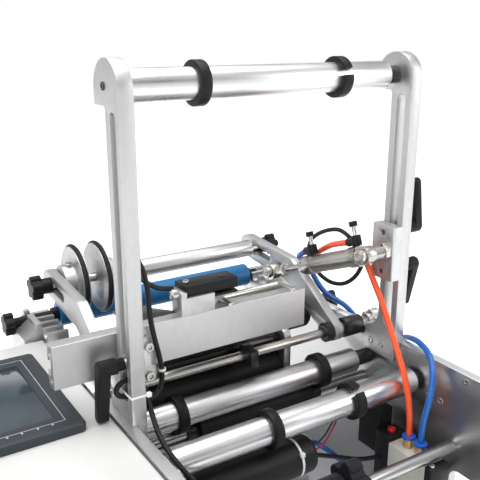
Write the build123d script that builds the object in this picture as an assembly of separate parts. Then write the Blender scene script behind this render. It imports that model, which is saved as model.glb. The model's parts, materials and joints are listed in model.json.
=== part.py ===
from build123d import *
import math
import os

# A tabletop machine that labels round bottles. X runs along the rollers, with X = 0 midway
# between the side plates. +Y runs from the label side towards the bottle cradle, with Y = 0 on
# the label-side face of the two posts. +Z is up, with Z = 0 on the table.

# Side plates, base and feet
plate_t = 10.0
plate_gap = 286.0
plate_height = 180.0
near_reach = 215.0
plate_far_reach = 255.0
plate_corner_r = 10.0
base_t = 6.0
foot_height = 14.0
foot_r = 14.0
foot_inset = 32.0
window_near_y = -185.0
window_far_y = -74.0
window_top_drop = 100.0
window_height = 60.0
window_corner_r = 10.0

# Control box beside the left plate, with its touch panel, switch and inlet
box_width = 270.0
box_far_reach = 199.0
box_wall = 1.5
box_corner_r = 4.0
box_top_drop = 1.0
panel_length = 200.0
panel_width = 146.0
panel_t = 8.0
panel_corner_r = 5.0
panel_near_y = 15.0
panel_edge_gap = 24.0
screen_border = 20.0
screen_recess = 0.8
screen_t = 3.0
switch_width = 21.0
switch_height = 15.0
switch_depth = 5.0
switch_tilt = 9.0
switch_pivot_in = 3.0
switch_pin_r = 1.2
switch_room = 1.8
switch_room_depth = 9.0
switch_case_depth = 16.0
inlet_width = 48.0
inlet_height = 27.0
inlet_depth = 20.0
inlet_rim = 3.0
socket_width = 24.0
socket_height = 16.0
socket_depth = 14.0
rear_panel_z = 70.0
switch_from_edge = 120.0
inlet_from_edge = 60.0
supply_length = 160.0
supply_width = 98.0
supply_height = 42.0
driver_length = 118.0
driver_width = 75.0
driver_height = 34.0
electronics_gap = 24.0

# Posts that carry the label roll
post_t = 12.0
post_depth = 25.0
post_head_r = 22.5
post_axis_rise = 260.0
post_head_drop = 2.2
post_ledge_drop = 14.0
post_ledge_r = 3.0
post_foot_depth = 43.0
post_foot_drop = 18.0
post_foot_rise = 9.0
post_rebate = 3.0
post_flare_r = 18.0
post_slot_width = 10.0
post_slot_low = 17.0
post_slot_high = 243.0

# Polished tubes that guide the web, their axles, plugs and clips
tube_r = 12.5
tube_wall = 2.0
axle_r = 5.0
running_gap = 0.05
plug_t = 12.0
top_tube_left = -131.0
top_tube_right = 119.0
guide_left = -138.0
guide_a_right = 121.0
guide_b_right = 137.0
guide_a_y = 46.0
guide_a_drop = 31.5
guide_b_y = -20.0
guide_b_drop = 30.0
clip_ring_t = 5.0
clip_width = 9.0
clip_gap_angle = 20.0
clip_turn_top_left = -30.0
clip_turn_top_right = 160.0
clip_turn_b_right = 120.0
clip_turn_low = -60.0
top_clip_left_x = -72.0
top_clip_right_x = 66.0
clip_a_left_x = -84.0
clip_a_right_x = 76.0
clip_b_left_x = -29.0
clip_b_right_x = 63.0
spacer_r = 8.0
end_gap = 0.3

# Rubber rollers that pull the web, and the plate that carries their free ends
traction_y = 87.0
traction_drop = 33.5
traction_r = 17.0
nip_r = 11.0
nip_shaft_r = 4.0
nip_left = -122.0
nip_right = 50.0
pinch_r = 13.0
pinch_y = 51.5
pinch_left = -62.0
pinch_right = 68.0
rubber_wall = 4.0
nip_plate_t = 8.0
nip_plate_near = 68.5
nip_plate_far = 112.0
nip_plate_rise = 14.0
nip_plate_corner_r = 8.0
nip_foot_t = 6.0
nip_foot_reach = 30.0

# Rewind shaft for the spent backing paper, held at the left plate only
rewind_y = -102.0
rewind_drop = 41.0
rewind_r = 11.0
rewind_left = -139.0
rewind_right = -20.0
rewind_knob_r = 19.0
rewind_knob_t = 14.0
rewind_flange_r = 30.0
rewind_flange_t = 3.0

# Motor, pulleys and belt, inside the left plate
pulley_r = 9.0
pulley_width = 9.0
pulley_flange_r = 11.5
pulley_flange_t = 1.2
belt_t = 1.5
pulley_plate_gap = 2.5
motor_y = 112.0
motor_drop = 112.0
motor_side = 57.0
motor_length = 76.0
motor_corner_r = 6.0
motor_boss_r = 19.0
motor_boss_t = 1.6
motor_bracket_t = 4.0

# Bottle cradle: a driven roller, an idle blue roller and the two notched brackets
drive_y = 137.0
drive_drop = 6.0
drive_r = 20.0
drive_left = -118.0
drive_right = 122.0
hand_knob_r = 13.5
hand_knob_t = 12.0
bottle_y = 241.0
bottle_rise = 6.0
bottle_r = 13.5
bottle_left = -125.0
bottle_right = 114.0
bottle_hub_r = 8.0
bottle_hub_t = 6.0
bottle_axle_right = 129.0
comb_pitch = 15.0
comb_notches = 4
comb_tooth_rise = 3.5
comb_left_inner = -132.0
comb_right_inner = 119.0
comb_lug_drop = 16.0
comb_shell_width = 19.0
comb_shell_drop = 26.0
comb_strip_width = 6.0
comb_strip_rise = 5.0
comb_end_margin = 11.0
axle_knob_r = 12.0
axle_knob_t = 10.0

# Press arms with their pivot, the press shaft, tube and two ringed discs
pivot_y = 63.0
pivot_drop = 1.4
pivot_r = 4.5
arm_t = 10.0
arm_left_x = -139.0
arm_right_x = 104.0
arm_root_r = 10.5
arm_elbow_y = 138.0
arm_elbow_rise = 44.0
arm_elbow_r = 14.0
arm_tip_y = 222.0
arm_tip_rise = 50.5
arm_tip_r = 13.0
press_y = 211.0
press_rise = 51.0
press_shaft_r = 4.5
arm_slot_length = 48.0
press_tube_r = 9.7
press_tube_left = -72.0
press_tube_right = 100.0
disc_r = 35.6
disc_rim_t = 7.0
disc_hub_r = 18.5
disc_hub_length = 11.5
disc_ring_r = 2.4
disc_first_x = -113.0
disc_pitch = 24.6
arm_knob_r = 12.5
arm_knob_t = 11.0
arm_knob_hub_r = 8.0
arm_knob_hub_length = 10.0
collar_r = 10.0
collar_t = 8.0
web_clip_x = 1.5
web_clip_r = 10.0
pivot_nut_r = 6.5
pivot_nut_t = 6.0
bush_r = 10.5

# Air cylinder between the right post and the right arm
cylinder_x = 97.0
cylinder_y = 6.7
cylinder_rise = 98.2
eye_y = 156.4
eye_rise = 38.3
barrel_r = 9.0
barrel_cap_r = 10.0
barrel_cap_length = 13.0
barrel_length = 93.0
barrel_nose_r = 7.0
barrel_nose_length = 9.0
lug_t = 10.0
lug_r = 8.5
rod_r = 3.0
rod_nut_r = 6.5
rod_nut_t = 5.0
eye_r = 9.0
eye_t = 10.0
eye_pin_r = 4.0
eye_pin_gap = 1.2
eye_neck_r = 4.4
eye_neck_length = 18.0
pin_head_r = 6.5
pin_head_t = 5.0
hinge_pin_r = 4.0
elbow_r = 4.8
elbow_length = 17.0
elbow_lip = 0.6
elbow_knob_r = 4.0
elbow_knob_t = 5.0
elbow_stem_r = 2.2
elbow_stem_length = 14.0
elbow_front_at = 80.0
elbow_rear_at = 10.0
block_low_rise = 69.0
block_high_rise = 122.0
block_width = 12.0
block_over = 2.0
block_hole_r = 2.6
block_hole_inset = 7.0

# Peel beam behind the posts, with the strip, web bar, peel plate and fork sensor
beam_y = 32.0
beam_depth = 12.0
beam_left = -196.0
beam_right = 45.5
beam_low_rise = 31.0
beam_high_rise = 67.5
beam_slot_width = 8.0
beam_slot_depth = 6.0
beam_slot_lip = 2.0
beam_slot_inner = 14.0
beam_bore_r = 2.6
beam_bore_inset = 6.5
strip_left = -124.0
strip_width = 9.0
strip_t = 3.0
strip_low_rise = 19.0
strip_high_rise = 59.0
strip_arm_reach = 20.0
strip_arm_height = 14.0
clamp_near_y = 7.0
clamp_height = 22.0
clamp_t = 4.0
web_bar_y = 55.0
web_bar_rise = 66.0
web_bar_r = 4.0
web_bar_left = -38.0
web_bar_right = 34.0
web_lug_t = 5.0
peel_plate_left = -76.0
peel_plate_t = 3.0
peel_reach = 50.0
peel_fall = 26.0
peel_flange = 14.0
side_guide_left = -128.0
side_guide_right = -79.0
side_guide_reach = 32.0
side_guide_t = 2.5
sensor_length = 52.0
sensor_y = 35.0
sensor_depth = 20.0
sensor_low_rise = 83.0
sensor_height = 9.0
sensor_jaw_t = 2.0
sensor_jaw_gap = 3.0
sensor_jaw_length = 34.0
bracket_left = -84.0
bracket_length = 32.0
bracket_depth = 18.0
bracket_ear = 5.0
thumb_r = 4.5
thumb_t = 5.0

# Indexing clamp levers
lever_neck_r = 4.9
lever_neck_length = 7.0
lever_hub_length = 13.0
lever_elbow_r = 6.6
lever_handle_t = 9.0
lever_tip_r = 4.8
beam_lever_rise = 49.5
beam_lever_length = 45.5
beam_lever_lean = 10.0
upper_lever_rise = 116.0
upper_lever_length = 42.0
upper_lever_lean = 5.0
lower_lever_rise = 77.0
lower_lever_length = 42.0
lower_lever_lean = 10.0
bolt_r = 4.0

# Air valve on the right plate
valve_x = 117.0
valve_width = 24.0
valve_far_y = -30.0
valve_length = 46.5
valve_top_drop = 84.0
valve_height = 46.0
pilot_length = 18.0
pilot_over = 5.0
coil_length = 28.0
coil_width = 19.0
coil_height = 46.0
coil_over = 24.0
cap_length = 8.0
fitting_r = 5.5
fitting_height = 9.0
fitting_collar_r = 6.5
fitting_collar_t = 3.0
fitting_first_y = -44.0
fitting_pitch = 15.0
button_r = 4.0
button_out = 3.0
button_travel = 2.0
standoff_r = 4.0

# Tie rods, hoses and cables
tie_r = 6.0
tie_near_y = -73.5
tie_near_drop = 77.0
tie_low_inset = 14.0
loom_r = 17.0
loom_y = -18.7
loom_drop = 68.2
loom_right = 16.0
loom_end_r = 6.0
hose_r = 3.0
cable_r = 2.2
thin_cable_r = 1.6
overrun = 1.0

# Places worked out from the sizes above
inner_x = plate_gap / 2
outer_x = inner_x + plate_t
plate_low = foot_height + base_t
plate_top = plate_low + plate_height
box_right = -outer_x - end_gap
box_left = box_right - box_width
box_top = plate_top - box_top_drop
switch_pivot_y = box_far_reach - switch_pivot_in
post_axis_z = plate_top + post_axis_rise
post_outer_x = inner_x + post_rebate
post_inner_x = post_outer_x - post_t
axle_bore_r = axle_r + running_gap
guide_a_z = plate_top - guide_a_drop
guide_b_z = plate_top - guide_b_drop
traction_z = plate_top - traction_drop
nip_z = traction_z + traction_r + nip_r + end_gap
pinch_z = guide_a_z - math.sqrt((tube_r + pinch_r + end_gap) ** 2 - (pinch_y - guide_a_y) ** 2)
motor_z = plate_top - motor_drop
pulley_left = -inner_x + pulley_plate_gap
pulley_right = pulley_left + pulley_width
drive_z = plate_top - drive_drop
bottle_z = plate_top + bottle_rise
pivot_z = plate_top - pivot_drop
press_z = plate_top + press_rise
eye_z = plate_top + eye_rise
cylinder_z = plate_top + cylinder_rise
beam_low = plate_top + beam_low_rise
beam_high = plate_top + beam_high_rise
tie_near_z = plate_top - tie_near_drop
loom_z = plate_top - loom_drop
rewind_z = plate_top - rewind_drop
valve_top = plate_top - valve_top_drop
reach = math.hypot(eye_y - cylinder_y, eye_z - cylinder_z)
cylinder_tilt = math.degrees(math.atan2(eye_z - cylinder_z, eye_y - cylinder_y))


def block(x0, x1, y0, y1, z0, z1):
    """A box between two values on each axis."""
    return Pos((x0 + x1) / 2, (y0 + y1) / 2, (z0 + z1) / 2) * Box(x1 - x0, y1 - y0, z1 - z0)


def x_rod(radius, x0, x1, y, z):
    """A round rod along X."""
    return Pos((x0 + x1) / 2, y, z) * Rot(0, 90, 0) * Cylinder(radius, x1 - x0)


def y_rod(radius, y0, y1, x, z):
    """A round rod along Y."""
    return Pos(x, (y0 + y1) / 2, z) * Rot(90, 0, 0) * Cylinder(radius, y1 - y0)


def z_rod(radius, z0, z1, x, y):
    """A round rod along Z."""
    return Pos(x, y, (z0 + z1) / 2) * Cylinder(radius, z1 - z0)


def x_profile(sketch, x0, x1):
    """A sketch drawn with Y across and Z up, carried along X."""
    plane = Plane(origin=(x0, 0, 0), x_dir=(0, 1, 0), z_dir=(1, 0, 0))
    return extrude(plane * sketch, amount=x1 - x0, dir=(1, 0, 0))


def x_tube(outer, inner, x0, x1, y, z):
    """A hollow tube along X."""
    return x_rod(outer, x0, x1, y, z) - x_rod(inner, x0 - overrun, x1 + overrun, y, z)


def star_outline(radius, lobes=5):
    """The outline of a lobed hand knob."""
    core_share = 0.72
    lobe_share = 0.34
    outline = Circle(radius * core_share)
    lobe_r = radius * lobe_share
    for turn in range(lobes):
        angle = math.radians(360 * turn / lobes + 90)
        across = (radius - lobe_r) * math.cos(angle)
        up = (radius - lobe_r) * math.sin(angle)
        outline += Pos(across, up) * Circle(lobe_r)
    return outline


def star_knob(radius, thickness, hub_radius, hub_length, x_face, outward, y, z):
    """A lobed knob whose hub stands on a face at x_face and points along X."""
    hub_end = x_face + outward * hub_length
    knob_end = hub_end + outward * thickness
    head = x_profile(Pos(y, z) * star_outline(radius), min(hub_end, knob_end), max(hub_end, knob_end))
    edge_share = 0.12
    rims = head.faces().filter_by(Axis.X).edges()
    head = fillet(rims, thickness * edge_share)
    return head + x_rod(hub_radius, min(x_face, hub_end), max(x_face, hub_end), y, z)


def plugged_tube(x0, x1, y, z, radius=tube_r, bore=axle_bore_r):
    """A tube and its two end plugs, which run on a fixed axle."""
    tube = x_tube(radius, radius - tube_wall, x0, x1, y, z)
    plugs = []
    for start, end in ((x0, x0 + plug_t), (x1 - plug_t, x1)):
        plugs.append(x_tube(radius - tube_wall, bore, start, end, y, z))
    return [tube] + plugs


def web_clip(x, y, z, turn):
    """A split ring that grips a tube, with its gap turned up from the far side."""
    inner = tube_r + running_gap
    outer = tube_r + clip_ring_t
    ring = x_tube(outer, inner, x - clip_width / 2, x + clip_width / 2, y, z)
    half = math.radians(clip_gap_angle / 2)
    wedge_reach = outer * 2
    wedge = Polygon(
        (0, 0),
        (wedge_reach, wedge_reach * math.tan(half)),
        (wedge_reach, -wedge_reach * math.tan(half)),
        align=None,
    )
    cutter = x_profile(Pos(y, z) * Rot(0, 0, turn) * wedge, x - clip_width, x + clip_width)
    return ring - cutter


def guide_roller(right, y, z, clips):
    """A guide tube with the two clips that turn with it."""
    return plugged_tube(guide_left, right, y, z) + [web_clip(x, y, z, turn) for x, turn in clips]


def side_plate(sign):
    """One side plate, with the bores that its shafts need."""
    length = near_reach + plate_far_reach
    middle_y = (plate_far_reach - near_reach) / 2
    outline = Pos(middle_y, (plate_low + plate_top) / 2) * Rectangle(length, plate_height)
    outline = fillet(outline.vertices().group_by(Axis.Y)[-1], plate_corner_r)
    x0, x1 = sorted((sign * inner_x, sign * outer_x))
    plate = x_profile(outline, x0, x1)
    if sign > 0:
        window_top = plate_top - window_top_drop
        window = Pos((window_near_y + window_far_y) / 2, window_top - window_height / 2)
        window = window * RectangleRounded(window_far_y - window_near_y, window_height, window_corner_r)
        plate -= x_profile(window, x0 - overrun, x1 + overrun)
        bores = ((pivot_y, pivot_z, pivot_r), (drive_y, drive_z, axle_r))
    else:
        bores = ((pivot_y, pivot_z, pivot_r), (drive_y, drive_z, axle_r),
                 (traction_y, traction_z, axle_r), (traction_y, nip_z, nip_shaft_r),
                 (rewind_y, rewind_z, axle_r))
    for y, z, radius in bores:
        plate -= x_rod(radius + running_gap, x0 - overrun, x1 + overrun, y, z)
    return plate


def base_plate():
    """The steel floor under both plates and the control box."""
    floor = block(-outer_x, outer_x, -near_reach, plate_far_reach, foot_height, plate_low)
    return floor + block(box_left, -outer_x, -near_reach, box_far_reach, foot_height, plate_low)


def rubber_feet():
    """Six tapered rubber feet."""
    feet = []
    top_share = 1.15
    columns = (
        (box_left + foot_inset, box_far_reach),
        (-outer_x + foot_inset, plate_far_reach),
        (outer_x - foot_inset, plate_far_reach),
    )
    for x, far in columns:
        for y in (-near_reach + foot_inset, far - foot_inset):
            foot = Solid.make_cone(foot_r, foot_r * top_share, foot_height)
            feet.append(Pos(x, y, 0) * foot)
    return feet


def control_box():
    """The sheet-metal case, open below, where the base plate closes it."""
    outline = Pos((box_left + box_right) / 2, (box_far_reach - near_reach) / 2)
    outer = outline * Rectangle(box_width, box_far_reach + near_reach)
    case = Pos(0, 0, plate_low) * extrude(outer, amount=box_top - plate_low)
    case = fillet(case.edges().filter_by(Axis.Y).group_by(Axis.Z)[-1], box_corner_r)
    inside = block(box_left + box_wall, box_right - box_wall, -near_reach + box_wall,
                   box_far_reach - box_wall, plate_low - overrun, box_top - box_wall)
    inside = fillet(inside.edges().filter_by(Axis.Y).group_by(Axis.Z)[-1], box_corner_r - box_wall)
    case -= inside
    for x, width, height in rear_cutouts():
        case -= block(x - width / 2, x + width / 2, box_far_reach - box_wall - overrun,
                      box_far_reach + overrun, rear_panel_z - height / 2, rear_panel_z + height / 2)
    return case


def rear_cutouts():
    """The places and openings of the rear switch and inlet."""
    swing = end_gap * 4
    return ((box_left + switch_from_edge, switch_width + swing, switch_height + swing),
            (box_left + inlet_from_edge, inlet_width, inlet_height))


def box_electronics():
    """Power supply, motor driver and mains inlet."""
    x0 = box_left + electronics_gap
    y0 = -near_reach + electronics_gap
    supply = block(x0, x0 + supply_width, y0, y0 + supply_length, plate_low, plate_low + supply_height)
    supply = fillet(supply.edges().filter_by(Axis.Z), box_wall)
    x2 = x0 + supply_width + electronics_gap
    driver = block(x2, x2 + driver_width, y0, y0 + driver_length, plate_low, plate_low + driver_height)
    fins = 8
    fin_root_share = 0.65
    pitch = driver_width / fins
    for fin in range(1, fins):
        x = x2 + fin * pitch
        driver -= block(x - pitch / 4, x + pitch / 4, y0 - overrun, y0 + driver_length + overrun,
                        plate_low + driver_height * fin_root_share, plate_low + driver_height + overrun)
    x = box_left + inlet_from_edge
    body = block(x - inlet_width / 2, x + inlet_width / 2, box_far_reach - inlet_depth, box_far_reach,
                 rear_panel_z - inlet_height / 2, rear_panel_z + inlet_height / 2)
    rim_x = inlet_width / 2 + inlet_rim
    rim_z = inlet_height / 2 + inlet_rim
    rim = block(x - rim_x, x + rim_x, box_far_reach, box_far_reach + box_wall,
                rear_panel_z - rim_z, rear_panel_z + rim_z)
    rim = fillet(rim.edges().filter_by(Axis.Y), inlet_rim)
    inlet = body + rim
    socket = block(x - socket_width / 2, x + socket_width / 2, box_far_reach - socket_depth,
                   box_far_reach + box_wall + overrun, rear_panel_z - socket_height / 2,
                   rear_panel_z + socket_height / 2)
    inlet -= fillet(socket.edges().filter_by(Axis.Y), inlet_rim)
    blade_share = 0.3
    for step in (-1, 0, 1):
        bx = x + step * socket_width * blade_share
        inlet += block(bx - box_wall / 2, bx + box_wall / 2, box_far_reach - socket_depth,
                       box_far_reach - box_wall, rear_panel_z - inlet_rim, rear_panel_z + inlet_rim)
    return [supply, driver, inlet, switch_case()]


def switch_case():
    """The case behind the rocker switch, open towards the rocker, with the bores of its pin."""
    x = box_left + switch_from_edge
    wide = switch_width / 2 + end_gap * 2
    tall = switch_height / 2 + switch_room
    back = box_far_reach - box_wall
    case = block(x - wide - box_wall, x + wide + box_wall, back - switch_case_depth, back,
                 rear_panel_z - tall - box_wall, rear_panel_z + tall + box_wall)
    case -= block(x - wide, x + wide, back - switch_room_depth, back + overrun, rear_panel_z - tall, rear_panel_z + tall)
    return case - x_rod(switch_pin_r + running_gap, x - wide * 2, x + wide * 2, switch_pivot_y, rear_panel_z)


def power_switch():
    """The rocker in the back of the box, tipped to one side about its own pin."""
    x = box_left + switch_from_edge
    half = switch_height / 2
    rise = half * math.tan(math.radians(switch_tilt))
    face = switch_pivot_in + rise
    outline = Polygon((-switch_depth, -half), (face + rise, -half), (face, 0), (face + rise, half),
                      (-switch_depth, half), align=None)
    place = Pos(switch_pivot_y, rear_panel_z) * Rot(0, 0, switch_tilt)
    rocker = x_profile(place * outline, x - switch_width / 2, x + switch_width / 2)
    pin_reach = switch_width / 2 + end_gap * 2 + box_wall
    return rocker + x_rod(switch_pin_r, x - pin_reach, x + pin_reach, switch_pivot_y, rear_panel_z)


def panel_outline():
    """Place and size of the touch panel seen from above."""
    right = box_right - panel_edge_gap
    centre = Pos(right - panel_length / 2, panel_near_y + panel_width / 2)
    return centre


def hmi_bezel():
    """The touch panel's raised frame."""
    frame = panel_outline() * RectangleRounded(panel_length, panel_width, panel_corner_r)
    bezel = Pos(0, 0, box_top) * extrude(frame, amount=panel_t)
    bezel = chamfer(bezel.faces().sort_by(Axis.Z)[-1].edges(), box_wall)
    well = panel_outline() * Rectangle(panel_length - 2 * screen_border, panel_width - 2 * screen_border)
    depth = screen_recess + screen_t
    return bezel - Pos(0, 0, box_top + panel_t - depth) * extrude(well, amount=depth + overrun)


def hmi_screen():
    """The glass that lies in the frame."""
    glass = panel_outline() * Rectangle(panel_length - 2 * screen_border, panel_width - 2 * screen_border)
    return Pos(0, 0, box_top + panel_t - screen_recess - screen_t) * extrude(glass, amount=screen_t)


def post(sign):
    """A slotted post whose head overhangs a ledge, with a flared, rebated foot."""
    foot_top = plate_top + post_foot_rise
    head_z = post_axis_z - post_head_drop
    ledge_z = post_axis_z - post_ledge_drop
    shank = Pos(post_depth / 2, (foot_top + head_z) / 2) * Rectangle(post_depth, head_z - foot_top)
    head = Pos(post_head_r, head_z) * Circle(post_head_r)
    head += Pos(post_head_r * 3 / 2, (ledge_z + head_z) / 2) * Rectangle(post_head_r, head_z - ledge_z)
    head -= Pos(post_depth + post_head_r, ledge_z - post_head_r) * Rectangle(post_head_r * 2, post_head_r * 2)
    outline = shank + head
    foot_low = plate_top - post_foot_drop
    foot = Pos(post_foot_depth / 2, (foot_low + foot_top) / 2)
    outline += foot * Rectangle(post_foot_depth, foot_top - foot_low)
    for z, radius in ((ledge_z, post_ledge_r), (foot_top, post_flare_r)):
        corners = [c for c in outline.vertices() if abs(c.X - post_depth) < end_gap and abs(c.Y - z) < end_gap]
        outline = fillet(corners, radius)
    slot_low = plate_top + post_slot_low
    slot_high = plate_top + post_slot_high
    middle = (slot_low + slot_high) / 2
    slot = Pos(post_depth / 2, middle) * Rot(0, 0, 90) * SlotOverall(slot_high - slot_low, post_slot_width)
    outline -= slot
    x0, x1 = sorted((sign * post_inner_x, sign * post_outer_x))
    body = x_profile(outline, x0, x1)
    rebate_x0, rebate_x1 = sorted((sign * inner_x, sign * (post_outer_x + overrun)))
    body -= block(rebate_x0, rebate_x1, -overrun, post_foot_depth + overrun, foot_low - overrun, plate_top)
    return body


def roller_axles():
    """Fixed axles between posts and plates: label roll, two guides and pinch roller."""
    return [
        x_rod(axle_r, -post_inner_x, post_inner_x, post_head_r, post_axis_z),
        x_rod(axle_r, -inner_x, inner_x, guide_a_y, guide_a_z),
        x_rod(axle_r, -inner_x, inner_x, guide_b_y, guide_b_z),
        x_rod(axle_r, -inner_x, inner_x, pinch_y, pinch_z),
    ]


def tie_rods():
    """Round bars that hold the plates apart."""
    low_z = plate_low + tie_near_drop / 2
    places = (
        (tie_near_y, tie_near_z),
        (-near_reach + tie_low_inset, low_z),
        (plate_far_reach - foot_inset, low_z),
    )
    return [x_rod(tie_r, -inner_x, inner_x, y, z) for y, z in places]


def black_spacers():
    """Sleeves on the fixed axles, and the two bushes of the arm pivot."""
    pieces = [
        x_tube(spacer_r, axle_r, top_tube_right + end_gap, post_inner_x, post_head_r, post_axis_z),
        x_tube(spacer_r, axle_r, guide_a_right + end_gap, inner_x, guide_a_y, guide_a_z),
        x_tube(spacer_r, axle_r, -inner_x, guide_left - end_gap, guide_a_y, guide_a_z),
        x_tube(spacer_r, axle_r, -inner_x, guide_left - end_gap, guide_b_y, guide_b_z),
        x_tube(spacer_r, axle_r, guide_b_right + end_gap, inner_x, guide_b_y, guide_b_z),
        x_tube(spacer_r, axle_r, pinch_right + end_gap, pinch_right + plug_t, pinch_y, pinch_z),
        x_tube(spacer_r, axle_r, pinch_left - plug_t, pinch_left - end_gap, pinch_y, pinch_z),
    ]
    bush_left = arm_right_x + arm_t + pivot_nut_t + end_gap
    pieces.append(x_tube(bush_r, pivot_r + running_gap, bush_left, inner_x, pivot_y, pivot_z))
    for y in (valve_far_y - cap_length, valve_far_y - valve_length + cap_length):
        pieces.append(x_rod(standoff_r, valve_x + valve_width / 2, inner_x, y, valve_top - valve_height / 2))
    return pieces


def rubber_roller(radius, left, right, y, z, shaft_left, shaft_right):
    """A rubber sleeve on a shaft that turns with it."""
    edge = rubber_wall / 4
    sleeve = x_rod(radius, left, right, y, z)
    sleeve = fillet(sleeve.edges(), edge)
    return sleeve + x_rod(axle_r, shaft_left, shaft_right, y, z)


def pulley(y, z):
    """A flanged belt pulley just inside the left plate."""
    wheel = x_rod(pulley_r, pulley_left, pulley_right, y, z)
    for x in (pulley_left, pulley_right - pulley_flange_t):
        wheel += x_rod(pulley_flange_r, x, x + pulley_flange_t, y, z)
    return wheel


def traction_roller():
    """The driven rubber roller, with its pulley."""
    right = nip_right + end_gap + nip_plate_t
    roller = rubber_roller(traction_r, nip_left, nip_right, traction_y, traction_z, -outer_x, right)
    return roller + pulley(traction_y, traction_z)


def nip_roller():
    """The metal roller that presses the web on the traction roller."""
    right = nip_right + end_gap + nip_plate_t
    roller = x_rod(nip_r, nip_left, nip_right, traction_y, nip_z)
    roller = chamfer(roller.edges(), rubber_wall / 4)
    return roller + x_rod(nip_shaft_r, -outer_x, right, traction_y, nip_z)


def rewind_shaft():
    """The shaft that winds the spent backing paper, with its flange and lobed end knob."""
    shaft = x_rod(axle_r, -outer_x, rewind_left, rewind_y, rewind_z)
    shaft += x_rod(rewind_r, rewind_left, rewind_right, rewind_y, rewind_z)
    shaft += x_rod(rewind_flange_r, rewind_left, rewind_left + rewind_flange_t, rewind_y, rewind_z)
    knob = star_knob(rewind_knob_r, rewind_knob_t, axle_r, axle_r, rewind_right, 1, rewind_y, rewind_z)
    return [shaft, knob]


def pinch_roller():
    """A rubber roller that runs under the first guide tube."""
    roller = x_tube(pinch_r, axle_bore_r, pinch_left, pinch_right, pinch_y, pinch_z)
    return roller


def nip_plate():
    """The standing plate that carries the free ends of the roller pair."""
    x0 = nip_right + end_gap
    x1 = x0 + nip_plate_t
    top = nip_z + nip_plate_rise
    width = nip_plate_far - nip_plate_near
    middle = Pos((nip_plate_near + nip_plate_far) / 2, (plate_low + top) / 2)
    outline = middle * Rectangle(width, top - plate_low)
    outline = fillet(outline.vertices().group_by(Axis.Y)[-1], nip_plate_corner_r)
    plate = x_profile(outline, x0, x1)
    plate += block(x1, x1 + nip_foot_reach, nip_plate_near, nip_plate_far, plate_low, plate_low + nip_foot_t)
    plate -= x_rod(axle_bore_r, x0 - overrun, x1 + overrun, traction_y, traction_z)
    plate -= x_rod(nip_shaft_r + running_gap, x0 - overrun, x1 + overrun, traction_y, nip_z)
    return plate


def bottle_drive_roller():
    """The driven cradle roller, with its pulley and the hand knob on its free end."""
    knob_face = outer_x + end_gap
    roller = rubber_roller(drive_r, drive_left, drive_right, drive_y, drive_z, -outer_x, knob_face)
    roller += pulley(drive_y, drive_z)
    hub_r = axle_r * 2
    knob = star_knob(hand_knob_r, hand_knob_t, hub_r, axle_r, knob_face, 1, drive_y, drive_z)
    return roller + knob


def drive_motor():
    """The square motor on its bracket, with its shaft towards the left plate."""
    x0 = pulley_right + pulley_plate_gap + motor_bracket_t
    half = motor_side / 2
    motor = block(x0, x0 + motor_length, motor_y - half, motor_y + half, motor_z - half, motor_z + half)
    motor = fillet(motor.edges().filter_by(Axis.X), motor_corner_r)
    bracket = block(x0 - motor_bracket_t, x0, motor_y - half, motor_y + half, plate_low, motor_z + half)
    bracket -= x_rod(motor_boss_r, x0 - motor_bracket_t - overrun, x0 + overrun, motor_y, motor_z)
    foot = block(x0 - motor_bracket_t, x0 + half, motor_y - half, motor_y + half,
                 plate_low, plate_low + motor_bracket_t)
    motor += x_rod(motor_boss_r, x0 - motor_boss_t, x0, motor_y, motor_z)
    return [motor, bracket + foot]


def motor_pulley():
    """The pulley and shaft of the motor."""
    x1 = pulley_right + pulley_plate_gap + motor_bracket_t - motor_boss_t - end_gap
    return pulley(motor_y, motor_z) + x_rod(axle_r, pulley_left, x1, motor_y, motor_z)


def drive_belt():
    """The flat belt round the motor, traction and cradle pulleys."""
    centres = ((motor_y, motor_z), (traction_y, traction_z), (drive_y, drive_z))
    inner = []
    outer = []
    for y, z in centres:
        inner += (Pos(y, z) * Circle(pulley_r + end_gap)).edges()
        outer += (Pos(y, z) * Circle(pulley_r + end_gap + belt_t)).edges()
    band = make_hull(outer) - make_hull(inner)
    middle = (pulley_left + pulley_right) / 2
    width = pulley_width - 2 * pulley_flange_t - 2 * end_gap
    return x_profile(band, middle - width / 2, middle + width / 2)


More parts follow.
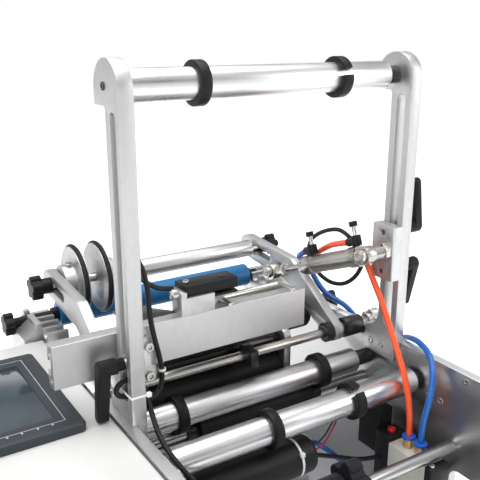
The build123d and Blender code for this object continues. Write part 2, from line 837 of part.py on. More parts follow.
def comb_bracket(sign):
    """A bracket with a row of round notches that seat the idle roller's axle."""
    inner = comb_left_inner if sign < 0 else comb_right_inner
    notch_r = axle_r + end_gap
    first = bottle_y + comb_end_margin
    last = bottle_y - comb_notches * comb_pitch + comb_end_margin / 2
    top = bottle_z + comb_tooth_rise
    outline = Pos((first + last) / 2, (plate_top + top) / 2) * Rectangle(first - last, top - plate_top)
    for notch in range(comb_notches):
        y = bottle_y - notch * comb_pitch
        outline -= Pos(y, bottle_z) * Circle(notch_r)
        outline -= Pos(y, bottle_z + notch_r) * Rectangle(notch_r * 2, notch_r * 2)
    x0, x1 = sorted((inner, sign * outer_x))
    comb = x_profile(outline, x0, x1)
    lug_x0, lug_x1 = sorted((inner, sign * (inner_x - end_gap)))
    comb += block(lug_x0, lug_x1, last, first, plate_top - comb_lug_drop, plate_top)
    edge = sign * outer_x
    strip_top = top + comb_strip_rise
    shell_low = plate_top - comb_shell_drop
    shell = Polygon(
        (edge, shell_low),
        (edge, strip_top),
        (edge + sign * comb_strip_width, strip_top),
        (edge + sign * comb_strip_width, top),
        (edge + sign * comb_shell_width, plate_top),
        (edge + sign * comb_shell_width, shell_low),
        align=None,
    )
    shell_near = max(last, box_far_reach + comb_end_margin / 2)
    plane = Plane(origin=(0, first, 0), x_dir=(1, 0, 0), z_dir=(0, -1, 0))
    comb += extrude(plane * shell, amount=first - shell_near, dir=(0, -1, 0))
    gap = (axle_r + end_gap) * 2
    slot_x = sorted((edge - sign * overrun, edge + sign * (comb_shell_width + overrun)))
    comb -= block(slot_x[0], slot_x[1], bottle_y - gap / 2, bottle_y + gap / 2,
                  bottle_z - gap / 2, strip_top + overrun)
    return comb


def bottle_roller():
    """The blue idle roller of the cradle."""
    roller = x_tube(bottle_r, axle_bore_r, bottle_left, bottle_right, bottle_y, bottle_z)
    return fillet(roller.edges().filter_by(GeomType.CIRCLE).group_by(Axis.X)[-1].sort_by(SortBy.LENGTH)[-1:]
                  + roller.edges().filter_by(GeomType.CIRCLE).group_by(Axis.X)[0].sort_by(SortBy.LENGTH)[-1:],
                  rubber_wall / 4)


def bottle_roller_axle():
    """The black axle in the notches, with its hub and clamp knob."""
    left = -outer_x - comb_shell_width
    axle = x_rod(axle_r, left, bottle_axle_right, bottle_y, bottle_z)
    hub_x = bottle_left - end_gap
    axle += x_rod(bottle_hub_r, hub_x - bottle_hub_t, hub_x, bottle_y, bottle_z)
    axle += x_rod(bottle_hub_r, bottle_right + end_gap, comb_right_inner - end_gap, bottle_y, bottle_z)
    axle += star_knob(axle_knob_r, axle_knob_t, axle_r, end_gap, left, -1, bottle_y, bottle_z)
    return axle


def arm_outline():
    """The cranked outline of a press arm, with its slot and pivot bore."""
    root = Pos(pivot_y, pivot_z) * Circle(arm_root_r)
    elbow = Pos(arm_elbow_y, plate_top + arm_elbow_rise) * Circle(arm_elbow_r)
    tip = Pos(arm_tip_y, plate_top + arm_tip_rise) * Circle(arm_tip_r)
    leg = make_hull(root.edges() + elbow.edges())
    crank = make_hull(elbow.edges() + tip.edges())
    outline = leg + crank
    run = arm_tip_y - arm_elbow_y
    rise = arm_tip_rise - arm_elbow_rise
    tilt = math.degrees(math.atan2(rise, run))
    slot_centre = press_y + press_shaft_r * 2 - arm_slot_length / 2
    slot_z = press_z - (press_y - slot_centre) * rise / run
    slot = Pos(slot_centre, slot_z) * Rot(0, 0, tilt) * SlotOverall(arm_slot_length, press_shaft_r * 2 + end_gap)
    return outline - slot - Pos(pivot_y, pivot_z) * Circle(pivot_r)


def press_arm(x0):
    """One press arm."""
    arm = x_profile(arm_outline(), x0, x0 + arm_t)
    if x0 > 0:
        arm -= x_rod(eye_pin_r, x0 - overrun, x0 + arm_t + overrun, eye_y, eye_z)
    return arm


def pivot_shaft():
    """The shaft that joins the arms and turns in the plates."""
    shaft = x_rod(pivot_r, -outer_x, outer_x + end_gap, pivot_y, pivot_z)
    pin = x_rod(eye_pin_r, cylinder_x - eye_t / 2 - pin_head_t - end_gap, arm_right_x + arm_t, eye_y, eye_z)
    head_x = cylinder_x - eye_t / 2 - end_gap
    pin += x_rod(pin_head_r, head_x - pin_head_t, head_x, eye_y, eye_z)
    nut_x = arm_right_x + arm_t
    nut = x_tube(pivot_nut_r, pivot_r, nut_x, nut_x + pivot_nut_t, pivot_y, pivot_z)
    return [shaft, pin, nut]


def pivot_collars():
    """Black collars, the web clip and the end knob on the pivot shaft."""
    pieces = []
    for x in (arm_right_x - collar_t, arm_left_x + arm_t):
        collar = x_tube(collar_r, pivot_r, x, x + collar_t, pivot_y, pivot_z)
        pieces.append(chamfer(collar.edges().filter_by(GeomType.CIRCLE).sort_by(SortBy.LENGTH)[-1:], end_gap))
    clip = x_tube(web_clip_r, pivot_r, web_clip_x - collar_t / 2, web_clip_x + collar_t / 2, pivot_y, pivot_z)
    flag = block(web_clip_x - collar_t / 2, web_clip_x + collar_t / 2, pivot_y - web_clip_r - collar_t / 2,
                 pivot_y - web_clip_r / 2, pivot_z - collar_t, pivot_z + collar_t)
    pieces.append(clip + flag - x_rod(pivot_r, web_clip_x - collar_t, web_clip_x + collar_t, pivot_y, pivot_z))
    knob_face = outer_x + end_gap
    pieces.append(star_knob(arm_knob_r, arm_knob_t, arm_knob_hub_r, axle_r, knob_face, 1, pivot_y, pivot_z))
    return pieces


def press_shaft():
    """The shaft clamped in the slots of the arms."""
    return x_rod(press_shaft_r, arm_left_x, arm_right_x + arm_t, press_y, press_z)


def press_tube():
    """The polished tube that rolls on the bottle, with a plug in each end."""
    bore = press_shaft_r + running_gap
    wall = tube_wall
    tube = x_tube(press_tube_r, press_tube_r - wall, press_tube_left, press_tube_right, press_y, press_z)
    pieces = [tube]
    for x in (press_tube_left, press_tube_right - plug_t):
        pieces.append(x_tube(press_tube_r - wall, bore, x, x + plug_t, press_y, press_z))
    return pieces


def disc_places():
    """Middles of the two discs along the shaft."""
    return [disc_first_x + step * disc_pitch for step in range(2)]


def press_disc(x):
    """A turned disc with a ring groove in its rim and a boss on its outer side."""
    half = disc_rim_t / 2
    bore = press_shaft_r + running_gap
    web_share = 0.55
    boss_left = -half - disc_hub_length
    points = [
        (boss_left, bore),
        (boss_left, disc_hub_r),
        (-half, disc_hub_r),
        (-half * web_share, disc_hub_r + disc_rim_t / 2),
        (-half * web_share, disc_r - disc_rim_t / 2),
        (-half, disc_r),
        (half, disc_r),
        (half * web_share, disc_r - disc_rim_t / 2),
        (half * web_share, disc_hub_r),
        (half, disc_hub_r / 2),
        (half, bore),
    ]
    profile = Polygon(*points, align=None)
    disc = revolve(Plane.XY * profile, Axis.X)
    groove = Rot(0, 90, 0) * Torus(disc_r, disc_ring_r)
    if x > disc_first_x:
        disc = mirror(disc, Plane.YZ)
    return Pos(x, press_y, press_z) * (disc - groove)


def disc_ring(x):
    """The rubber ring in the rim of a disc."""
    return Pos(x, press_y, press_z) * Rot(0, 90, 0) * Torus(disc_r, disc_ring_r)


def arm_knob(sign):
    """The knob that clamps the press shaft in an arm."""
    face = arm_left_x if sign < 0 else arm_right_x + arm_t
    return star_knob(arm_knob_r, arm_knob_t, arm_knob_hub_r, arm_knob_hub_length, face, sign, press_y, press_z)


def along_cylinder(piece):
    """Place a piece drawn along +Y from the rear pivot on the cylinder's line."""
    return Pos(cylinder_x, cylinder_y, cylinder_z) * Rot(cylinder_tilt, 0, 0) * piece


def cylinder_block():
    """The block on the right post, with the pivot stud of the cylinder."""
    x1 = post_inner_x - end_gap / 3
    low = plate_top + block_low_rise
    high = plate_top + block_high_rise
    body = block(x1 - block_width, x1, -block_over, post_depth + block_over, low, high)
    body = chamfer(body.edges().filter_by(Axis.Z).group_by(Axis.X)[0], end_gap * 3)
    for z in (low + block_hole_inset, high - block_hole_inset):
        body -= x_rod(block_hole_r, x1 - block_width - overrun, x1 + overrun, post_depth / 2, z)
    stud_left = cylinder_x - lug_t / 2 - pin_head_t - end_gap
    stud = x_rod(hinge_pin_r, stud_left, x1 - block_width, cylinder_y, cylinder_z)
    head = x_rod(pin_head_r, stud_left, stud_left + pin_head_t, cylinder_y, cylinder_z)
    hex_x0 = cylinder_x + lug_t / 2 + end_gap
    hexagon = Pos(cylinder_y, cylinder_z) * RegularPolygon(pin_head_r, 6)
    collar = x_profile(hexagon, hex_x0, x1 - block_width)
    return body + stud + head + collar


def cylinder_barrel():
    """The barrel, its end caps, nose and rear lug."""
    barrel = y_rod(barrel_r, lug_r, barrel_length, 0, 0)
    barrel += y_rod(barrel_cap_r, lug_r, lug_r + barrel_cap_length, 0, 0)
    barrel += y_rod(barrel_cap_r, barrel_length - barrel_cap_length, barrel_length, 0, 0)
    barrel += y_rod(barrel_nose_r, barrel_length, barrel_length + barrel_nose_length, 0, 0)
    lug = x_rod(lug_r, -lug_t / 2, lug_t / 2, 0, 0)
    lug += block(-lug_t / 2, lug_t / 2, 0, lug_r + overrun, -lug_r, lug_r)
    barrel += lug
    barrel -= x_rod(hinge_pin_r + running_gap, -lug_t, lug_t, 0, 0)
    bore = y_rod(rod_r + running_gap, lug_r + barrel_cap_length, reach, 0, 0)
    chamber = y_rod(barrel_r - tube_wall, lug_r + barrel_cap_length, barrel_length - barrel_cap_length, 0, 0)
    return along_cylinder(barrel - bore - chamber)


def piston_rod():
    """Piston, rod, jam nut and rod eye."""
    piston_at = barrel_length - barrel_cap_length - plug_t
    rod = y_rod(barrel_r - tube_wall - running_gap, piston_at - plug_t / 2, piston_at + plug_t / 2, 0, 0)
    neck_at = reach - eye_r - eye_neck_length
    rod += y_rod(rod_r, piston_at, neck_at, 0, 0)
    hexagon = Plane(origin=(0, neck_at, 0), x_dir=(1, 0, 0), z_dir=(0, 1, 0)) * RegularPolygon(rod_nut_r, 6)
    rod += extrude(hexagon, amount=rod_nut_t)
    rod += y_rod(eye_neck_r, neck_at, reach - (eye_r + eye_pin_r + eye_pin_gap) / 2, 0, 0)
    rod += x_rod(eye_r, -eye_t / 2, eye_t / 2, reach, 0)
    rod -= x_rod(eye_pin_r + eye_pin_gap, -eye_t, eye_t, reach, 0)
    return along_cylinder(rod)


def flow_elbow(at):
    """An elbow with a flow screw, standing on the barrel, its port towards the rod."""
    base = barrel_cap_r
    body_z = base + elbow_r
    piece = z_rod(elbow_r, base, body_z + elbow_r + elbow_lip, 0, at)
    piece += y_rod(elbow_r - elbow_lip, at, at + elbow_length - elbow_r, 0, body_z)
    stem_top = body_z + elbow_r + elbow_stem_length
    piece += z_rod(elbow_stem_r, body_z, stem_top, 0, at)
    knob = z_rod(elbow_knob_r, stem_top - elbow_knob_t, stem_top, 0, at)
    return along_cylinder(piece + knob)


def beam():
    """The extruded beam, slotted along its far face, with a bore at top and bottom."""
    middle_z = (beam_low + beam_high) / 2
    outline = Pos(beam_y + beam_depth / 2, middle_z) * Rectangle(beam_depth, beam_high - beam_low)
    outline = fillet(outline.vertices(), end_gap * 2)
    far = beam_y + beam_depth
    outline -= Pos(far - beam_slot_lip / 2, middle_z) * Rectangle(beam_slot_lip + end_gap, beam_slot_width)
    inner_y = far - beam_slot_lip - (beam_slot_depth - beam_slot_lip) / 2
    outline -= Pos(inner_y, middle_z) * Rectangle(beam_slot_depth - beam_slot_lip, beam_slot_inner)
    for z in (beam_low + beam_bore_inset, beam_high - beam_bore_inset):
        outline -= Pos(beam_y + beam_depth / 2, z) * Circle(beam_bore_r)
    return x_profile(outline, beam_left, beam_right)


def beam_hardware():
    """Strip with its clamp flange and bolt, web bar with its lugs, sensor bracket and thumb screw."""
    strip_y = beam_y - strip_t
    low = plate_top + strip_low_rise
    high = plate_top + strip_high_rise
    lever_z = plate_top + beam_lever_rise
    clamp_left = -post_inner_x + end_gap
    strip = block(clamp_left, strip_left + strip_width, strip_y, beam_y, low, high)
    strip += block(clamp_left, strip_left + strip_arm_reach, strip_y, beam_y, low, low + strip_arm_height)
    strip += block(clamp_left, clamp_left + clamp_t, clamp_near_y, beam_y, lever_z - clamp_height / 2, high)
    strip += x_rod(bolt_r, -post_outer_x - lever_hub_length, clamp_left + end_gap, post_depth / 2, lever_z)
    bar_z = plate_top + web_bar_rise
    bar = x_rod(web_bar_r, web_bar_left, web_bar_right, web_bar_y, bar_z)
    for x in (web_bar_left, web_bar_right - web_lug_t):
        bar += block(x, x + web_lug_t, beam_y, web_bar_y, beam_high, bar_z + web_bar_r)
    sensor_low = plate_top + sensor_low_rise
    bracket = block(bracket_left, bracket_left + bracket_length, beam_y, beam_y + bracket_depth,
                    beam_high, sensor_low)
    bracket += block(bracket_left, bracket_left + bracket_ear, beam_y, beam_y + bracket_depth,
                     beam_high, sensor_low + bracket_ear)
    thumb_z = sensor_low + bracket_ear / 2
    thumb = x_rod(thumb_r, bracket_left - thumb_t, bracket_left, beam_y + bracket_depth / 2, thumb_z)
    return [strip, bar, bracket + thumb, peel_plate()]


def peel_plate():
    """The bent plate that leads the web down to its peel edge."""
    far = beam_y + beam_depth
    low = beam_high - beam_bore_inset - peel_flange
    outline = Polygon(
        (far, low),
        (far, low + peel_flange),
        (far + peel_plate_t, low + peel_flange),
        (far + peel_reach, low + peel_flange - peel_fall),
        (far + peel_plate_t, low + peel_flange - peel_plate_t * 2),
        (far + peel_plate_t, low),
        align=None,
    )
    return x_profile(outline, peel_plate_left, beam_right)


def label_guide():
    """The thin black plate that steadies the label's edge."""
    far = beam_y + beam_depth
    z = beam_high - side_guide_t
    narrow_share = 0.45
    narrow = side_guide_left + (side_guide_right - side_guide_left) * narrow_share
    outline = Polygon(
        (side_guide_left, far),
        (side_guide_right, far),
        (narrow, far + side_guide_reach),
        (side_guide_left, far + side_guide_reach),
        align=None,
    )
    return Pos(0, 0, z) * extrude(outline, amount=side_guide_t, dir=(0, 0, 1))


def label_sensor():
    """The fork sensor, with its thin lower jaw under a gap for the web."""
    low = plate_top + sensor_low_rise
    left = bracket_left + bracket_ear + end_gap
    right = left + sensor_length
    far = sensor_y + sensor_depth
    head = block(left, right, sensor_y, far, low, low + sensor_height)
    head = chamfer(head.edges().filter_by(Axis.Z), end_gap * 2)
    jaw_left = right - sensor_jaw_length
    jaw_low = low - sensor_jaw_gap - sensor_jaw_t
    stem_x = bracket_left + bracket_length + end_gap
    head += block(stem_x, right, far - sensor_jaw_t, far, jaw_low, low)
    head += block(max(jaw_left, stem_x), right, sensor_y, far, jaw_low, jaw_low + sensor_jaw_t)
    return head


def clamp_lever(face, outward, y, z, length, direction, lean):
    """An indexing lever: neck on the face, boss, and a tapered handle up or down."""
    neck_end = face + outward * lever_neck_length
    hub_end = face + outward * lever_hub_length
    cap_end = hub_end + outward * lever_handle_t
    neck = x_rod(lever_neck_r, min(face, neck_end), max(face, neck_end), y, z)
    boss = x_rod(lever_elbow_r, min(neck_end, cap_end), max(neck_end, cap_end), y, z)
    root = Pos(y, z) * Circle(lever_elbow_r)
    sway = length * math.sin(math.radians(lean))
    tip = Pos(y + sway, z + direction * math.sqrt(length ** 2 - sway ** 2)) * Circle(lever_tip_r)
    handle = x_profile(make_hull(root.edges() + tip.edges()), min(hub_end, cap_end), max(hub_end, cap_end))
    lever = boss + handle
    lever = fillet(lever.faces().filter_by(Axis.X).group_by(Axis.X)[-1 if outward > 0 else 0].edges(), lever_handle_t / 4)
    lever += neck
    lever -= x_rod(bolt_r + end_gap, min(face, hub_end) - overrun, max(face, hub_end), y, z)
    return lever


def valve_body():
    """The valve block and its two push-in fittings."""
    x0 = valve_x - valve_width / 2
    x1 = valve_x + valve_width / 2
    body = block(x0, x1, valve_far_y - valve_length, valve_far_y, valve_top - valve_height, valve_top)
    body = fillet(body.edges().filter_by(Axis.Y), end_gap * 3)
    fittings = []
    for step in range(2):
        y = fitting_first_y - step * fitting_pitch
        hexagon = Pos(valve_x, y, valve_top) * extrude(RegularPolygon(fitting_r, 6), amount=fitting_height)
        collar_z = valve_top + fitting_height
        collar = z_rod(fitting_collar_r, collar_z, collar_z + fitting_collar_t, valve_x, y)
        fittings.append(hexagon)
        fittings.append(collar)
    return [body] + fittings


def valve_coil():
    """The pilot head and coil at the far end, and the cap at the near end."""
    x0 = valve_x - valve_width / 2
    x1 = valve_x + valve_width / 2
    low = valve_top - valve_height
    pilot_far = valve_far_y + pilot_length
    pilot = block(x0, x1, valve_far_y, pilot_far, low, valve_top + pilot_over)
    button_y = (valve_far_y + pilot_far) / 2
    pilot -= z_rod(button_r + end_gap, valve_top + pilot_over - button_out - button_travel,
                   valve_top + pilot_over + overrun, valve_x, button_y)
    top = valve_top + coil_over
    half = coil_width / 2
    coil = block(valve_x - half, valve_x + half, pilot_far, pilot_far + coil_length, top - coil_height, top)
    coil = fillet(coil.edges().filter_by(Axis.Z), end_gap * 5)
    near = valve_far_y - valve_length
    cap = block(x0, x1, near - cap_length, near, low, valve_top)
    return [pilot, coil, cap]


def valve_button():
    """The red manual button in the top of the pilot head."""
    top = valve_top + pilot_over
    button_y = valve_far_y + pilot_length / 2
    return z_rod(button_r, top - button_out + end_gap, top + button_out, valve_x, button_y)


def held_tube(points, radius, name):
    """A hose or cable along its route: straight runs joined by arcs as large as they allow."""
    corners = [Vector(*p[:2], p[2] + plate_top) for p in points]
    radii = []
    for before, corner, after in zip(corners, corners[1:], corners[2:]):
        inward = corner - before
        outward = after - corner
        shorter = min(inward.length, outward.length)
        run_share = 0.45
        turn = math.radians(inward.get_angle(outward))
        radii.append(run_share * shorter / math.tan(turn / 2))
    print(name, "bend radii", [round(r, 1) for r in radii])
    path = FilletPolyline(*corners, radius=radii)
    start = Plane(origin=path @ 0, z_dir=path % 0)
    tube = sweep(start * Circle(radius), path=path)
    print(name, "length", round(path.length, 1), "volume ratio",
          round(tube.volume / (math.pi * radius ** 2 * path.length), 4))
    return tube


def elbow_port(at):
    """Where a hose meets its elbow, with the height over the side plates' top edge."""
    angle = math.radians(cylinder_tilt)
    along = at + elbow_length - elbow_r + end_gap * 2
    up = barrel_cap_r + elbow_r
    y = cylinder_y + along * math.cos(angle) - up * math.sin(angle)
    rise = cylinder_rise + along * math.sin(angle) + up * math.cos(angle)
    return (cylinder_x, y, rise)


def fitting_mouth(step):
    """Where a hose meets its push-in fitting."""
    rise = -valve_top_drop + fitting_height + fitting_collar_t + end_gap
    return (valve_x, fitting_first_y - step * fitting_pitch, rise)


# Routes of the hoses and cables, as X, Y and height over the side plates' top edge
hose_orange_route = (
    elbow_port(elbow_rear_at), (98.5, 54.5, 96.5), (102.5, 69, 89.5), (106.5, 85, 80.5), (110.5, 97, 72.5),
    (115, 105, 67), (121, 110.5, 63), (128, 109.5, 61), (131, 103, 64), (129.5, 87, 71.5),
    (124, 64, 81), (118.5, 45, 86), (117, 34, 86), (117, 25, 78.5),
    (117.5, 16.8, 65.3), (118.5, 6.9, 50.8), (119.5, -3.4, 31.3), (119, -18.8, 6.1), (118, -35, -21),
    (117, -44, -54), fitting_mouth(0),
)
hose_blue_route = (
    elbow_port(elbow_front_at), (97.5, 107, 72), (101, 115, 66), (110, 122, 61), (118.5, 121, 53),
    (123, 116, 40), (129, 111, 27), (138, 107, 16), (148, 104, 10), (158, 99, 2), (165, 92, -9),
    (168, 80, -19), (169, 63, -25), (169, 42, -21), (165, 24, -10), (157, 5, 2), (148, -20, 8), (139, -43, 5),
    (129, -57, -8), (121, -61, -32), (117, -59, -53), fitting_mouth(1),
)
sensor_cable_route = (
    (-84.4, 47, 88.5), (-96.4, 47, 90.2), (-105.5, 47, 96), (-114, 46, 103), (-121, 45, 113), (-126, 42, 124),
    (-127, 36, 130.5), (-125.5, 29, 130), (-122.5, 25.5, 122), (-119.5, 25, 112), (-117.5, 24.5, 97),
    (-117.5, 24.5, 82),
    (-114, 25, 60.5), (-109, 25.5, 40), (-106.7, 26.4, 26), (-108, 26, 14), (-113, 24, 8), (-121, 20, 9),
    (-127, 14.5, 18), (-133, 12.5, 31), (-141, 12.5, 35.5), (-150, 12.5, 34), (-154.5, 12.5, 27.8),
    (-151, 12.5, 21.8), (-141, 12.5, 20), (-132.5, 12.5, 19.6), (-128.4, 9, 14.1), (-128.6, 3, 6.5),
    (-129.5, -10, -6.5), (-129.3, -30, -14.3), (-121, -46, -28.4), (-110, -49, -43), (-100, -45, -57),
    (-92, -38.4, -66.5),
)
cylinder_cable_route = (
    (109, 22, 92), (112, 28, 79), (116, 41, 62.5), (118, 59.5, 48.5), (118, 80, 43.5), (118, 98, 46.5),
    (118, 112, 54), (116, 118.5, 67), (113.5, 112, 84.5), (113, 94, 97), (113, 74, 105), (112, 59, 107),
    (109.5, 46, 104),
)
coil_cable_route = (
    (104.7, -18, -106), (90, -15.5, -105), (72, -15, -98.5), (52, -17, -88), (34, -19, -79), (16.6, -20.5, -71),
)


def cable_loom():
    """The sleeved bundle on the middle tie rod, lying from the left plate to its taped end."""
    bundle = x_rod(loom_r, -inner_x, loom_right, loom_y, loom_z)
    return fillet(bundle.edges().group_by(Axis.X)[-1], loom_end_r)


def build():
    """Every node of the machine, by name."""
    nodes = {
        "base_plate": base_plate(),
        "side_plate_left": side_plate(-1),
        "side_plate_right": side_plate(1),
        "rubber_feet": rubber_feet(),
        "control_box": control_box(),
        "box_electronics": box_electronics(),
        "power_switch": power_switch(),
        "hmi_bezel": hmi_bezel(),
        "hmi_screen": hmi_screen(),
        "post_left": post(-1),
        "post_right": post(1),
        "cross_bars": roller_axles() + tie_rods(),
        "black_spacers": black_spacers(),
        "top_tube": plugged_tube(top_tube_left, top_tube_right, post_head_r, post_axis_z),
        "roll_clip_left": web_clip(top_clip_left_x, post_head_r, post_axis_z, clip_turn_top_left),
        "roll_clip_right": web_clip(top_clip_right_x, post_head_r, post_axis_z,
                                   clip_turn_top_right),
        "guide_roller_a": guide_roller(guide_a_right, guide_a_y, guide_a_z,
                                       ((clip_a_left_x, clip_turn_low), (clip_a_right_x, clip_turn_low))),
        "guide_roller_b": guide_roller(guide_b_right, guide_b_y, guide_b_z,
                                       ((clip_b_left_x, clip_turn_low), (clip_b_right_x, clip_turn_b_right))),
        "rewind_shaft": rewind_shaft(),
        "pinch_roller": pinch_roller(),
        "traction_roller": traction_roller(),
        "nip_roller": nip_roller(),
        "nip_plate": nip_plate(),
        "drive_motor": drive_motor(),
        "motor_pulley": motor_pulley(),
        "drive_belt": drive_belt(),
        "bottle_drive_roller": bottle_drive_roller(),
        "bottle_roller": bottle_roller(),
        "bottle_roller_axle": bottle_roller_axle(),
        "comb_bracket_left": comb_bracket(-1),
        "comb_bracket_right": comb_bracket(1),
        "press_arm_left": press_arm(arm_left_x),
        "press_arm_right": press_arm(arm_right_x),
        "arm_shafts": pivot_shaft() + [press_shaft()],
        "pivot_collars": pivot_collars(),
        "press_tube": press_tube(),
        "press_discs": [press_disc(x) for x in disc_places()],
        "disc_rings": [disc_ring(x) for x in disc_places()],
        "arm_knob_left": arm_knob(-1),
        "arm_knob_right": arm_knob(1),
        "cylinder_block": cylinder_block(),
        "cylinder_barrel": cylinder_barrel(),
        "piston_rod": piston_rod(),
        "flow_elbows": [flow_elbow(at) for at in (elbow_front_at, elbow_rear_at)],
        "beam": beam(),
        "beam_hardware": beam_hardware(),
        "label_guide": label_guide(),
        "label_sensor": label_sensor(),
        "valve_body": valve_body(),
        "valve_coil": valve_coil(),
        "valve_button": valve_button(),
    }
    slot_y = post_depth / 2
    nodes["beam_clamp_lever"] = clamp_lever(-post_outer_x - end_gap, -1, slot_y, plate_top + beam_lever_rise,
                                            beam_lever_length, -1, beam_lever_lean)
    nodes["post_lever_upper"] = clamp_lever(post_outer_x + end_gap, 1, slot_y, plate_top + upper_lever_rise,
                                            upper_lever_length, 1, upper_lever_lean)
    nodes["post_lever_lower"] = clamp_lever(post_outer_x + end_gap, 1, slot_y, plate_top + lower_lever_rise,
                                            lower_lever_length, -1, lower_lever_lean)
    nodes["hose_orange"] = held_tube(hose_orange_route, hose_r, "hose_orange")
    nodes["hose_blue"] = held_tube(hose_blue_route, hose_r, "hose_blue")
    nodes["sensor_cable"] = held_tube(sensor_cable_route, cable_r, "sensor_cable")
    nodes["cylinder_cable"] = held_tube(cylinder_cable_route, thin_cable_r, "cylinder_cable")
    nodes["black_cables"] = [cable_loom(), held_tube(coil_cable_route, cable_r, "coil_cable")]
    return nodes


def solids_of(shape):
    """The separate solids of a node."""
    shapes = shape if isinstance(shape, (list, tuple)) else [shape]
    found = []
    for item in shapes:
        found.extend(item.solids())
    return found


def origin_shift(nodes):
    """The move that puts the origin under the middle of the whole machine."""
    boxes = [item.bounding_box() for shape in nodes.values() for item in solids_of(shape)]
    middle_x = (min(b.min.X for b in boxes) + max(b.max.X for b in boxes)) / 2
    middle_y = (min(b.min.Y for b in boxes) + max(b.max.Y for b in boxes)) / 2
    return Pos(-middle_x, -middle_y, -min(b.min.Z for b in boxes))


if __name__ == "__main__":
    os.makedirs("parts", exist_ok=True)
    parts = build()
    shift = origin_shift(parts)
    print("moved by", shift.position)
    for node, shape in parts.items():
        solids = [shift * item for item in solids_of(shape)]
        piece = solids[0] if len(solids) == 1 else Compound(children=solids)
        export_step(piece, f"parts/{node}.step")
        print(node, len(solids))
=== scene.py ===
import bpy
import json
import math
from mathutils import Matrix, Vector

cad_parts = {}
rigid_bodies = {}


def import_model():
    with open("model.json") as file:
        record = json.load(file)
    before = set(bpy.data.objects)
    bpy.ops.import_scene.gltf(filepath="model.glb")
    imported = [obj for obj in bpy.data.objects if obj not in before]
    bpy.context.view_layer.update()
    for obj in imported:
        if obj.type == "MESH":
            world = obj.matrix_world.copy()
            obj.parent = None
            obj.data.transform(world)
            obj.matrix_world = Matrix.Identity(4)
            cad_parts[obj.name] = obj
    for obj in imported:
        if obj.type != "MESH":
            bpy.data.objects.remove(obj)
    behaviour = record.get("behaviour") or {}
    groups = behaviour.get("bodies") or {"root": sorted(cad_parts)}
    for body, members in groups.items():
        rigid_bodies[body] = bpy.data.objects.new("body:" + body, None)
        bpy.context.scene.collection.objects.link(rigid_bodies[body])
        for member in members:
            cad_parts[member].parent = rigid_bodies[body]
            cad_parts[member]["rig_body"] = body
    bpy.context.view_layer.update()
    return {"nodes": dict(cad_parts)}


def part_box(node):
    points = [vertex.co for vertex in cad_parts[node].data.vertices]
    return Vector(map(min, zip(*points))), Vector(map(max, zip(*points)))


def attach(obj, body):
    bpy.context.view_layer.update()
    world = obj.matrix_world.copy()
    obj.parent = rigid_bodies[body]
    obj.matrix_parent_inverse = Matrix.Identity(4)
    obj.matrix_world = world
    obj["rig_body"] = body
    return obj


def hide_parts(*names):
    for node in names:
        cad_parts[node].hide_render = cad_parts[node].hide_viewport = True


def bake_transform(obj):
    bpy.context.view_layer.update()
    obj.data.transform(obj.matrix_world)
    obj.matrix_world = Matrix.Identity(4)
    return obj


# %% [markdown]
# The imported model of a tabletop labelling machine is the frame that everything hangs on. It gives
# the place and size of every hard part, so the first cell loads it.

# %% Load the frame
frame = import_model()
nodes = frame["nodes"]
MM = 0.001

# %% [markdown]
# All places below are written as on a drawing of the machine: millimetres to the right of the
# middle between the side plates, millimetres behind the label-side face of the posts, and
# millimetres over the plates' top edge. The three zero lines are read from the parts themselves.

# %% Zero lines of the drawing
plate_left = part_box("side_plate_left")
plate_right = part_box("side_plate_right")
ZERO = Vector((
    (plate_left[0].x + plate_right[1].x) / 2,
    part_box("post_left")[0].y,
    plate_left[1].z,
))


def at(across, back, rise):
    """A point of the drawing, in metres, in the row frame."""
    return ZERO + Vector((across, back, rise)) * MM


print("zero lines", [round(v, 4) for v in ZERO])

# %% [markdown]
# The camera comes first, because every later choice is judged through it. It stands to the left
# of the machine on the label side, a little over half a metre away and half a metre up, and looks
# down along the rollers. A slightly long lens keeps the posts upright.

# %% Camera
CAMERA_PLACE = (-338.2, -456.4, 299.5)
CAMERA_TURN = 32.54
CAMERA_DIP = 16.67
CAMERA_ROLL = 0.12
CAMERA_LENS = 52.92
CAMERA_FILM = 36
NEAREST, FARTHEST = 0.01, 50


def make_camera():
    """The camera at the photograph's viewing angle."""
    data = bpy.data.cameras.new("camera")
    data.lens = CAMERA_LENS
    data.sensor_width = CAMERA_FILM
    data.clip_start = NEAREST
    data.clip_end = FARTHEST
    camera = bpy.data.objects.new("camera", data)
    bpy.context.scene.collection.objects.link(camera)
    camera.location = at(*CAMERA_PLACE)
    turn = Matrix.Rotation(math.radians(-CAMERA_TURN), 4, "Z")
    dip = Matrix.Rotation(math.radians(90 - CAMERA_DIP), 4, "X")
    roll = Matrix.Rotation(math.radians(CAMERA_ROLL), 4, "Z")
    camera.rotation_euler = (turn @ dip @ roll).to_euler()
    bpy.context.scene.camera = camera
    return camera


camera = make_camera()
print("camera at", [round(v, 3) for v in camera.location])

# %% [markdown]
# Most parts are bare metal, so the room matters as much as the lamps: a tube shows the room as
# long streaks. The room is a pale studio with a brighter ceiling and a grey band low down, which
# gives each polished tube its dark and light lines. Three large soft lamps do the rest.

# %% Studio light
SKY_LEVEL = 1.0
SKY_STOPS = (
    (0.0, 0.80), (0.42, 1.0), (0.58, 1.0), (0.64, 0.42), (0.72, 0.24), (0.80, 0.70), (1.0, 0.80),
)


